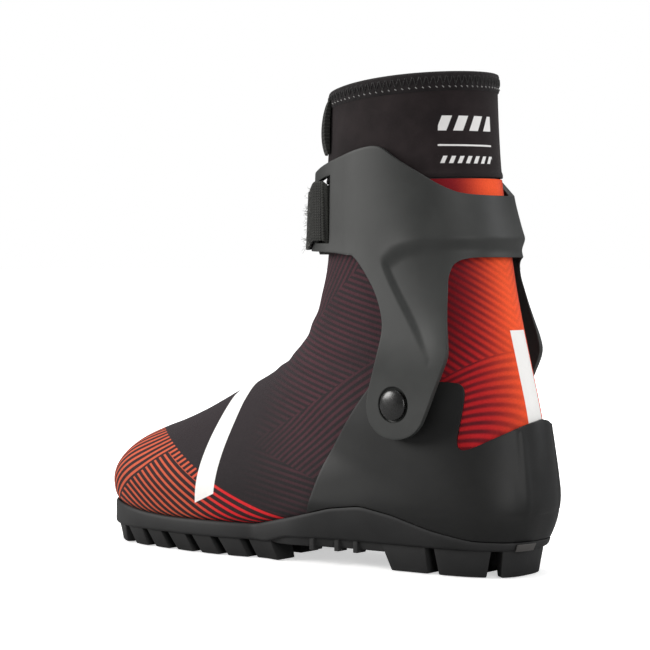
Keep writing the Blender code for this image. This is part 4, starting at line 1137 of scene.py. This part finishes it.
# ---------------------------------------------------------------- outsole
def sole_place(q):
    """Outline point, outward direction and the x used for the height tables."""
    _, aim = plan_ray(q)
    if q < TOE_Q:
        x = side(q, 30.0)[0]
    elif q < 0:
        x = plan_ray(q)[0][0]
    else:
        x = side(q, TUCK_Z)[0]
    x = float(np.clip(x, -149, 149))
    rear = min(max((x - 5) / 30, 0), 1)
    rim = soft_line(RIM_TOP, x)
    level = (1 - rear) * rim + rear * TUCK_Z
    return side(q, level), np.array([aim[0], aim[1], 0.0]), x, rear, rim


def sole_reach(x, rear, rim=3.0):
    """How far the sole stands out from the upper: rim mm, more at the heel and less at the toe."""
    return rim + 1.2 * rear - 1.1 * smooth((-112 - x) / 32)


def other_side(q):
    """The same place on the inner side."""
    if q < TOE_Q:
        return TOE_Q - TOE_R * math.pi - (q - TOE_Q)
    return 2 * BACK_Q - q


def sole_body():
    """Rim and floor of the sole as rings from the underside edge up and back down inside."""
    lateral = [float(v) for v in np.linspace(0, TOE_Q, 90)]
    toe = [TOE_Q - TOE_R * math.pi / 2 * k / 30 for k in range(1, 31)]
    heel = [BACK_Q * k / 26 for k in range(26, 0, -1)]
    first = heel + lateral + toe
    mirrored = [other_side(q) for q in first[::-1][1:]]
    qs = first + mirrored[:-1]
    n = len(qs)
    levels = [[] for _ in range(10)]
    for q in qs:
        p, aim, x, rear, rim = sole_place(q)
        under = soft_line(UNDER, x)
        floor = min(soft_line(FLOOR, x), rim - 0.8)
        out = sole_reach(x, rear)
        section = ((out - 1.6, under), (out - 0.9, under + 0.25), (out - 0.25, under + 0.8),
                   (out, under + 1.6), (out - 0.1, rim - 2.2), (out - 0.3, rim - 0.9),
                   (out - 0.7, rim - 0.25), (out - 1.3, rim), (1.05, rim), (1.05, floor))
        for k, (off, z) in enumerate(section):
            spot = p + aim * (off - tuck(z) * rear)
            levels[k].append((spot[0], spot[1], z))
    verts = [v for ring in levels for v in ring]
    faces = mesh_faces(10, n)
    half = len(first)
    for base in (0, 9 * n):
        for i in range(half - 1):
            a, b = i, i + 1
            c, d = (n - (i + 1)) % n, (n - i) % n
            if b == half - 1:
                quad = [a, b, d]
            elif i == 0:
                quad = [a, b, c]
            else:
                quad = [a, b, c, d]
            faces.append([base + k for k in quad])
    return verts, faces


def outline_xy(q, inset):
    """Plan point inset from the sole's lower edge."""
    p, aim, x, rear, _ = sole_place(q)
    pull = tuck(line(UNDER, x)) * rear
    spot = p + aim * (sole_reach(x, rear, 1.8) - pull - inset)
    return spot[0], spot[1]


def spring(x):
    """Height of the walking surface: the toe curves up a little."""
    return 2.0 * (max(-116.0 - x, 0) / 32.0) ** 2


def prism_faces(n):
    """Faces of a solid between two outlines of n points, the upper one first."""
    faces = [list(range(n)), list(range(2 * n - 1, n - 1, -1))]
    return faces + [[(i + 1) % n, i, n + i, n + (i + 1) % n] for i in range(n)]


def tread_solid(top, low):
    """Block from an outline inside the sole down to one on the walking surface."""
    start = max(line(UNDER, x) for x, _ in top) + 1.2
    verts = [(x, y, start) for x, y in top] + [(x, y, spring(x)) for x, y in low]
    return verts, prism_faces(len(top))


def lug(q0, q1, depth, lean=0.0, mirror=False, shrink=0.85, steps=6):
    """Tread block along the edge between two outline places, its foot drawn in and leaning along X."""
    places = [q0 + (q1 - q0) * k / steps for k in range(steps + 1)]
    if mirror:
        places = [other_side(q) for q in places]
    top = [outline_xy(q, LUG_INSET) for q in places]
    top += [outline_xy(q, LUG_INSET + depth) for q in places[::-1]]
    low = [outline_xy(q, LUG_INSET + 2.2) for q in places]
    low += [outline_xy(q, LUG_INSET + depth - 1.5) for q in places[::-1]]
    cx = sum(p[0] for p in low) / len(low)
    cy = sum(p[1] for p in low) / len(low)
    low = [(cx + (x - cx) * shrink + lean, cy + (y - cy) * 0.97) for x, y in low]
    return tread_solid(top, low)


def rectangle(x0, x1, y0, y1):
    return [(x0, y0), (x1, y0), (x1, y1), (x0, y1)]


def box_block(x0, x1, y0, y1):
    """Four-sided tread block whose foot is 1 mm smaller all round."""
    return tread_solid(rectangle(x0, x1, y0, y1), rectangle(x0 + 1.0, x1 - 1.0, y0 + 1.0, y1 - 1.0))


def tread_blocks():
    """Edge lugs in pairs, the heel and toe pieces, and the blocks between them."""
    blocks = []
    spans = ((-222, -205, 19, 3.0, 0.9), (-201, -188, 19, 5.5, 0.9), (-183, -169, 19, 6.0, 0.9),
             (-164, -150, 19, 6.0, 0.9), (-145, -130.5, 19, 6.0, 0.9), (-125.5, -108, 19, 5.0, 0.9),
             (-38.5, -10.5, 15, 3.0, 0.8))
    for q0, q1, depth, lean, shrink in spans:
        for mirror in (False, True):
            blocks.append(lug(q0, q1, depth, lean, mirror, shrink))
    for mirror in (False, True):
        blocks.append(lug(-5.5, 32.0, 14, 0.0, mirror, steps=10))
    blocks.append(lug(38.0, other_side(38.0), 11, steps=10))
    blocks.append(lug(-226.0, other_side(-226.0), 9, steps=14))
    for x0 in (-133.5, -97.0):
        blocks.append(box_block(x0, x0 + 10, 10.5, 20.5))
        blocks.append(box_block(x0, x0 + 10, -20.5, -10.5))
    for x0, x1, half in ((-84, -62, 9), (-57, -35, 9), (-30, -11, 9), (72, 90, 8), (95, 113, 8)):
        blocks.append(box_block(x0, x1, -half, half))
    return blocks


def straight_place(x, sign):
    """Outline place at x on the straight part of one side."""
    return x - HEEL_C if sign < 0 else other_side(x - HEEL_C)


def waist_rails():
    """Rail along each edge of the waist and the ribs that cross it."""
    solids = []
    for sign in (-1, 1):
        verts = []
        places = np.linspace(-9.0, 72.5, 24)
        for x in places:
            px, py = outline_xy(straight_place(x, sign), 0.5)
            drop = 9.6 + 0.9 * smooth((-2 - x) / 8) + 0.9 * smooth((x - 64) / 8)
            verts += [(px, py, RAIL_TOP), (px, py - sign * 9, RAIL_TOP)]
            verts += [(px, py - sign * 8, drop), (px, py - sign * 1.2, drop)]
        faces = []
        for i in range(len(places) - 1):
            for k in range(4):
                a, b = 4 * i + k, 4 * i + (k + 1) % 4
                faces.append([a, b, b + 4, a + 4])
        faces.append([0, 1, 2, 3])
        faces.append([len(verts) - 4 + k for k in (3, 2, 1, 0)])
        solids.append((verts, faces))
        for x in (20.0, 34.0, 46.0):
            px, py = outline_xy(straight_place(x, sign), -0.3)
            outline = rectangle(px - 1.5, px + 1.5, *sorted((py, py - sign * 8)))
            rib = [(rx, ry, z) for z in (RAIL_TOP, 7.8) for rx, ry in outline]
            solids.append((rib, prism_faces(4)))
    return solids


def softened(verts, faces, width):
    """The same solid with its edges rounded."""
    bm = bmesh.new()
    made = [bm.verts.new(tuple(v)) for v in verts]
    for f in faces:
        bm.faces.new([made[k] for k in f])
    bmesh.ops.recalc_face_normals(bm, faces=bm.faces)
    sharp = [e for e in bm.edges if len(e.link_faces) == 2 and e.calc_face_angle(0.0) > math.radians(30)]
    bmesh.ops.bevel(bm, geom=sharp, offset=width, segments=2, profile=0.5, affect="EDGES", clamp_overlap=True)
    points = [tuple(v.co) for v in bm.verts]
    bm.verts.index_update()
    polygons = [[v.index for v in f.verts] for f in bm.faces]
    bm.free()
    return points, polygons


def outsole(paint):
    """Rubber sole: rim, floor, edge lugs, waist rails and pockets for the bars."""
    obj = make("outsole_rubber", *sole_body(), paint)
    for block in tread_blocks():
        cut(obj, *softened(*block, 0.55), "UNION")
    for rail in waist_rails():
        cut(obj, *softened(*rail, 0.4), "UNION")
    for x in (-128.5, -92.0):
        cut(obj, *turned([(-14.5, 1.9), (14.5, 1.9)], x, 5.4, 32, 1))
    shade(obj, 38.0)
    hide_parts("outsole")
    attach(obj, BODY)


# ---------------------------------------------------------------- strap
def front_ring(angle, out):
    """Plan point in front of the shaft at strap height; angle from straight ahead, lateral positive."""
    a = math.radians(angle)
    return 60 - (51.2 + out) * math.cos(a), -(38.6 + out) * math.sin(a)


TURN = ((14.0, CUFF + 1.15), (19.0, CUFF + 1.15), (26.5, CUFF + 1.15), (28.6, CUFF + 0.7), (29.6, CUFF * 0.7),
        (29.6, CUFF * 0.3), (28.8, -1.0), (26.5, -1.8), (19.0, -2.2), (12.6, -2.6))


def under_path(z):
    """Middle line of the strap in plan: round the front, through the slot and along the cuff's outside."""
    ring = [front_ring(a, 1.9) for a in (-50, -43, -36, -28, -20, -10, 0, 10, 20, 28)]
    return ring + [tuple(cuff_turn(beta_for(x, z), z, depth)[:2]) for x, depth in TURN]


def bar_front(z):
    end = cuff_turn(beta_for(12.6, z), z, -2.6)
    return float(end[0]) - 1.3, float(end[1]) + 1.1


def flap_path(z):
    places = ((22, 8.6), (15, 7.0), (8, 5.6), (0, 5.0), (-8, 4.9), (-16, 4.9), (-23, 4.9))
    return [bar_front(z)] + [front_ring(a, out) for a, out in places]


def patch_path(z):
    return [front_ring(a, 3.4) for a in (12, 4, -4, -12, -20)]


def evenly(points, count):
    return np.array([polyline(points, f) for f in np.linspace(0, 1, count)])


def tape(name, path, low, high, thick, paint, count, rows, sag):
    """Upright woven band with thin rolled selvedges; path(z) gives its middle line in plan.

    sag(f) lowers it at fraction f of its length.
    """
    fall = np.array([sag(f) for f in np.linspace(0, 1, count)])[:, None]
    front = []
    back = []
    cloth = []
    for f in np.linspace(0, 1, rows):
        z = low + (high - low) * f
        p = evenly(round_corners(path(z), 2), count)
        d = np.gradient(p, axis=0)
        d /= np.linalg.norm(d, axis=1, keepdims=True)
        inset = min(f, 1 - f) * (high - low)
        edge = 1 - 0.45 * math.exp(-inset / 0.5) + 0.12 * math.exp(-((inset - 1.6) / 0.7) ** 2)
        n = np.stack([-d[:, 1], d[:, 0]], 1) * thick / 2 * edge
        level = z - fall
        front.append(np.hstack([p + n, level]))
        back.append(np.hstack([p - n, level]))
        run = np.concatenate([[0], np.cumsum(np.linalg.norm(np.diff(p, axis=0), axis=1))])
        cloth.append(np.stack([run, np.full(count, z), np.zeros(count)], -1))
    verts, faces = sheet_solid(np.array(front), np.array(back))
    return make(name, verts, faces, paint, bevel=0.18, segments=2, bevel_angle=60, angle=50,
                attributes=alike(doubled(np.array(cloth))))


def fuzz(name, path, low, high, fall, count, seed, paint, body, reach):
    """Loose hairs standing off a worn hook-and-loop tape."""
    dice = random.Random(seed)
    threads = []
    tufts = [(dice.uniform(low, high), dice.uniform(2, 38)) for _ in range(count // 9)]
    for _ in range(count):
        level, place = dice.choice(tufts)
        z = min(max(level + dice.gauss(0, 1.1), low), high)
        p = evenly(path(z), 40)
        k = int(min(max(place + dice.gauss(0, 2.0), 1), 38))
        d = p[k + 1] - p[k - 1]
        d /= np.linalg.norm(d)
        out = np.array([-d[1], d[0], 0.0])
        if out[0] > 0:
            out = -out
        length = dice.uniform(0.25, 1.0) ** 2 * reach
        lean = np.array([d[0], d[1], 0]) * dice.uniform(-0.9, 0.9)
        lean = lean + np.array([0, 0, dice.uniform(-1.0, 0.7)])
        base = np.array([p[k][0], p[k][1], z - fall]) + out * 0.6
        threads.append([base + out * length * s + lean * length * s * s for s in np.linspace(0, 1, 5)])
    verts, faces = tubes(threads, 0.11, 4, 0.35)
    obj = make(name, verts, faces, paint, angle=80.0)
    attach(obj, body)


def strap(webbing_paint, hook_paint, hair_paint):
    """Webbing from the inner side, across the front, through the slot and back over itself."""
    low, high = STRAP_LOW, STRAP_HIGH

    def band_sag(f):
        """Hangs low across the front, comes up where it goes through the slot."""
        return 7.5 * smooth(f / 0.35) * (1 - smooth((f - 0.70) / 0.10)) + 5.0 * smooth((f - 0.86) / 0.14)

    def end_sag(f):
        return 5.0 - 3.0 * smooth(f / 0.7)

    under = tape("strap_band", under_path, low, high, STRAP, webbing_paint, 240, 30, band_sag)
    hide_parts("strap_under")
    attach(under, CUFF_BODY)
    flap = tape("strap_end", flap_path, low, high, STRAP, webbing_paint, 120, 30, end_sag)
    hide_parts("strap_flap")
    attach(flap, "strap_flap_body")
    patch = tape("strap_hooks", patch_path, low + 1.5, high - 1.5, 0.7, hook_paint, 60, 26,
                 lambda f: 4.5 - 2.0 * f)
    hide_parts("hook_patch")
    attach(patch, "strap_flap_body")
    fuzz("strap_lint", lambda z: under_path(z)[-2:], low, high, 4.0, 130, 7, hair_paint, CUFF_BODY, 4.0)
    fuzz("strap_end_lint", lambda z: flap_path(z)[:4], low, high, 4.0, 190, 11, hair_paint,
         "strap_flap_body", 4.0)


def pull_loop(paint):
    """Bowed webbing loop for pulling the boot on."""
    rows, cols = 60, 12
    outer = np.zeros((rows, cols, 3))
    inner = outer.copy()
    ts = np.linspace(0.25, 1.25, rows)
    th = np.linspace(0.46, 0.80, cols)
    for k, t in enumerate(ts):
        bulge = 2.6 * math.sin(math.pi * k / (rows - 1)) ** 0.8
        outer[k] = form(np.full(cols, t), th, 1.9 + bulge)
        inner[k] = form(np.full(cols, t), th, 0.5 + bulge * 0.3)
    verts, faces = sheet_solid(outer, inner)
    down = length_along(outer, 0)
    across = np.linspace(0, 8, cols)[None, :] * np.ones((rows, 1))
    cloth = np.stack([down, across, np.zeros_like(down)], -1)
    obj = make("pull_on_loop", verts, faces, paint, bevel=0.25, segments=2, bevel_angle=60,
               attributes=alike(doubled(cloth)))
    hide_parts("pull_loop")
    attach(obj, CUFF_BODY)


# ---------------------------------------------------------------- zip
def zip_parts(tape_paint, tooth_paint):
    """Zip tape on the front of the collar and two coils of teeth."""
    start, run = 0.22, 1.5
    t = np.linspace(start, start + run, 70)[:, None]
    th = np.linspace(-0.13, 0.13, 24)
    outer = form(t, th, 1.0)
    inner = form(t, th, 0.4)
    verts, faces = sheet_solid(outer, inner)
    down = length_along(outer, 12)
    across = np.linspace(-6, 6, 24)[None, :] * np.ones((70, 1))
    cloth = np.stack([down, across, np.zeros_like(down)], -1)
    band = make("zip_band", verts, faces, tape_paint, bevel=0.12, segments=2, bevel_angle=60,
                attributes=alike(doubled(cloth)))
    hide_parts("zip_tape")
    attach(band, CUFF_BODY)
    coils = []
    points = 10
    count = 36 * points
    for offset in (-1, 1):
        path = []
        for i in range(count + 1):
            w = 2 * math.pi * i / points + (math.pi if offset > 0 else 0.0)
            y = offset * 0.75 + 0.95 * math.cos(w)
            path.append(form(start + run * i / count, -y / 38.0, 1.72 + 0.36 * math.sin(w)))
        coils.append(path)
    verts, faces = tubes(coils, 0.26, 6)
    teeth = make("zip_teeth", verts, faces, tooth_paint, angle=80.0)
    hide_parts("zip_coil")
    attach(teeth, CUFF_BODY)


# ---------------------------------------------------------------- small hard parts
def rounded_copy(node, name, paint, body, width):
    """The CAD piece's own shape with rounded edges."""
    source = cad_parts[node]
    obj = add_object(name, source.data.copy())
    obj.data.transform(source.matrix_world)
    obj.data.materials.clear()
    obj.data.materials.append(paint)
    bm = bmesh.new()
    bm.from_mesh(obj.data)
    bmesh.ops.remove_doubles(bm, verts=bm.verts, dist=2e-6)
    bmesh.ops.dissolve_limit(bm, angle_limit=math.radians(2), verts=bm.verts, edges=bm.edges)
    bm.to_mesh(obj.data)
    bm.free()
    round_edges(obj, width)
    shade(obj)
    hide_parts(node)
    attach(obj, body)


def pivot_cap(tag, sign, paint):
    """Low polished dome over the hinge post."""
    base = ARM_Y - 0.75
    rim = base + 1.35
    profile = [(base - 3.0, 2.2), (base, 2.2), (base, 7.8), (base + 0.2, 8.0), (rim, 8.0)]
    for k in range(1, 15):
        a = k * math.pi / 30
        profile.append((rim + 1.9 * math.sin(a) ** 1.15, 8.0 * math.cos(a) ** 0.9))
    obj = make("hinge_cap_" + tag, *turned(profile, PIVOT_X, PIVOT_Z, 96, sign), paint, angle=30.0)
    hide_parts("pivot_cap_" + tag)
    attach(obj, BODY)


def insole(paint):
    """Cushioned footbed with a slightly crowned top."""
    rows, cols = 110, 40
    t = np.linspace(9.3, 16.5, rows)[:, None]
    th = np.linspace(12 * 2 * math.pi / 30, 18 * 2 * math.pi / 30, cols)
    low = form(t, th, LINING_IN - 0.5)
    top = low.copy()
    along, across = (np.minimum(np.linspace(0, 1, n), 1 - np.linspace(0, 1, n)) * n for n in (rows, cols))
    along = along[:, None]
    rise = 2.6 + 0.9 * (1 - np.exp(-np.minimum(along, across) / 2.5))
    top[..., 2] += rise
    verts, faces = sheet_solid(top, low)
    cloth = np.stack([low[..., 0], low[..., 1], np.zeros_like(low[..., 0])], -1)
    obj = make("insole", verts, faces, paint, bevel=0.5, bevel_angle=60, attributes=alike(doubled(cloth)))
    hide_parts("footbed")
    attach(obj, BODY)


# ---------------------------------------------------------------- camera, light, floor
def lamp(name, place, target, width, height, watts, colour):
    light = bpy.data.lights.new(name, "AREA")
    light.shape = "RECTANGLE"
    light.size = width
    light.size_y = height
    light.energy = watts
    light.color = colour
    obj = add_object(name, light)
    obj.location = place
    obj.rotation_euler = (Vector(target) - Vector(place)).to_track_quat("-Z", "Y").to_euler()


def camera():
    """The photo's view: 38 degrees round from the side and nearly level."""
    azimuth = math.radians(38.0)
    distance = 1.2
    height = 0.1667
    right = Vector((math.cos(azimuth), math.sin(azimuth), 0))
    ahead = Vector((-math.sin(azimuth), math.cos(azimuth), 0))
    data = bpy.data.cameras.new("camera")
    data.sensor_width = 36.0
    data.lens = 118.9
    obj = add_object("camera", data)
    place = -ahead * distance + Vector((0.0026, 0, height)) - right * 0.0011
    obj.location = place
    drop = math.tan(math.radians(1.84))
    obj.rotation_euler = (ahead - Vector((0, 0, drop))).to_track_quat("-Z", "Y").to_euler()
    bpy.context.scene.camera = obj


def backdrop():
    """Pale round floor. It looks white to the camera and lights the boot only a little from below."""
    sides, radius, level = 96, 25, -0.0004
    turns = [2 * math.pi * k / sides for k in range(sides)]
    ring = [(radius * math.cos(a), radius * math.sin(a), level) for a in turns]
    mesh = bpy.data.meshes.new("backdrop")
    mesh.from_pydata(ring, [], [list(range(sides))])
    obj = add_object("backdrop", mesh)
    paper = Paint("backdrop_paper", roughness=0.9, specular=0.1)
    grain = paper.noise(paper.millimetres(), 3.0, 2.0)
    mesh.materials.append(paper.finish(paper.mix(grain, (0.90, 0.90, 0.90), (0.93, 0.93, 0.93))))
    paper.shader.inputs["Emission Color"].default_value = (1.0, 1.0, 1.0, 1.0)
    seen = paper.node("ShaderNodeLightPath").outputs["Is Camera Ray"]
    reach = paper.node("ShaderNodeVectorMath", operation="LENGTH")
    paper.tree.links.new(paper.millimetres(), reach.inputs[0])
    far = Num(paper.tree, reach.outputs["Value"]).ramp(180, 700, 0.55, 1.1)
    paper.tree.links.new((Num(paper.tree, seen) * far).socket, paper.shader.inputs["Emission Strength"])
    dull = paper.node("ShaderNodeBsdfDiffuse")
    dull.inputs["Color"].default_value = (0.42, 0.42, 0.42, 1.0)
    pick = paper.node("ShaderNodeMixShader")
    paper.tree.links.new(seen, pick.inputs[0])
    paper.tree.links.new(dull.outputs[0], pick.inputs[1])
    paper.tree.links.new(paper.shader.outputs[0], pick.inputs[2])
    paper.tree.links.new(pick.outputs[0], paper.tree.nodes["Material Output"].inputs["Surface"])


def studio():
    """White surround to the camera, dimmer as light on the boot, and four lamps."""
    world = bpy.data.worlds.new("studio")
    bpy.context.scene.world = world
    world.use_nodes = True
    nodes = world.node_tree.nodes
    links = world.node_tree.links
    room = nodes["Background"]
    seen = nodes.new("ShaderNodeBackground")
    for node, strength in ((room, 0.26), (seen, 1.0)):
        node.inputs["Color"].default_value = (1.0, 1.0, 1.0, 1.0)
        node.inputs["Strength"].default_value = strength
    path = nodes.new("ShaderNodeLightPath")
    mix = nodes.new("ShaderNodeMixShader")
    links.new(path.outputs["Is Camera Ray"], mix.inputs[0])
    links.new(room.outputs[0], mix.inputs[1])
    links.new(seen.outputs[0], mix.inputs[2])
    links.new(mix.outputs[0], nodes["World Output"].inputs["Surface"])
    aim = (0.0, 0.0, 0.12)
    lamp("key", (-1.25, -1.15, 0.75), aim, 0.8, 0.8, 30.0, (1.0, 0.99, 0.97))
    lamp("side", (1.35, -0.75, 0.45), aim, 0.5, 0.9, 9.0, (1.0, 0.99, 0.98))
    lamp("top", (0.0, 0.1, 1.6), aim, 1.0, 0.8, 18.0, (1.0, 1.0, 1.0))
    lamp("rim", (1.3, 0.9, 0.8), aim, 0.4, 1.0, 9.0, (0.97, 0.98, 1.0))
    scene = bpy.context.scene
    scene.view_settings.view_transform = "Standard"
    scene.view_settings.look = "None"


def build():
    """Every piece with its material."""
    web = webbing()
    upper_skin(print_fabric())
    inner_sock(plain_knit("lining_knit", (0.030, 0.030, 0.033), (0.058, 0.058, 0.063), 1.3))
    collar(black_knit())
    collar_hem(plain_knit("hem_knit", (0.009, 0.0075, 0.008), (0.020, 0.0165, 0.0175), 0.8, 0.06))
    hem_stitches(fibre("stitch_thread", (0.004, 0.004, 0.004), (0.03, 0.029, 0.028)),
                 fibre("stitch_speck", (0.10, 0.10, 0.10), (0.42, 0.41, 0.40)))
    heel_cup(moulded("dark_composite", (0.0035, 0.0036, 0.0035), (0.0075, 0.0077, 0.0075), 0.50, 0.5, 0.05,
                     (0.03, 0.03, 0.03)))
    cuff(moulded("grey_nylon", (0.022, 0.023, 0.0222), (0.034, 0.0355, 0.034), 0.52, 0.45, 0.05,
                 (0.09, 0.092, 0.088)))
    outsole(moulded("sole_rubber", (0.012, 0.012, 0.0122), (0.021, 0.021, 0.0214), 0.62, 0.6, 0.06,
                    (0.045, 0.045, 0.045)))
    strap(web, hook_tape(), fibre("lint_hair", (0.04, 0.04, 0.036), (0.26, 0.26, 0.24)))
    pull_loop(web)
    zip_parts(plain_knit("zip_tape_weave", (0.014, 0.013, 0.013), (0.03, 0.028, 0.028), 0.6),
              fibre("zip_coil_nylon", (0.03, 0.03, 0.03), (0.07, 0.07, 0.07)))
    insole(plain_knit("insole_knit", (0.06, 0.055, 0.05), (0.12, 0.11, 0.10), 1.1))
    steel = metal("steel", (0.50, 0.49, 0.48), (0.68, 0.67, 0.66), 0.34)
    dark_steel = metal("dark_steel", (0.10, 0.10, 0.10), (0.20, 0.20, 0.20), 0.42)
    gloss = cap_plastic()
    for tag, sign in (("outer", -1), ("inner", 1)):
        pivot_cap(tag, sign, gloss)
        rounded_copy("pivot_post_" + tag, "hinge_post_" + tag, steel, BODY, 0.2)
        rounded_copy("pivot_washer_" + tag, "hinge_washer_" + tag,
                     moulded("washer_nylon_" + tag, (0.02, 0.02, 0.02), (0.035, 0.035, 0.035), 0.5, 0.4, 0.03,
                             (0.06, 0.06, 0.06)), BODY, 0.2)
    for tag in ("front", "rear"):
        rounded_copy("binding_bar_" + tag, "toe_bar_" + tag, steel, BODY, 0.25)
    rounded_copy("strap_rivet", "cuff_rivet", dark_steel, CUFF_BODY, 0.25)
    rounded_copy("zip_slider", "zip_runner", dark_steel, "zip_slider_body", 0.22)
    rounded_copy("zip_puller", "zip_pull_tab", dark_steel, "zip_puller_body", 0.15)
    rounded_copy("shank_plate", "fibre_shank", fibre_plate(), BODY, 0.2)
    rounded_copy("heel_label", "size_plate", label_film(), BODY, 0.25)


build()
camera()
backdrop()
studio()
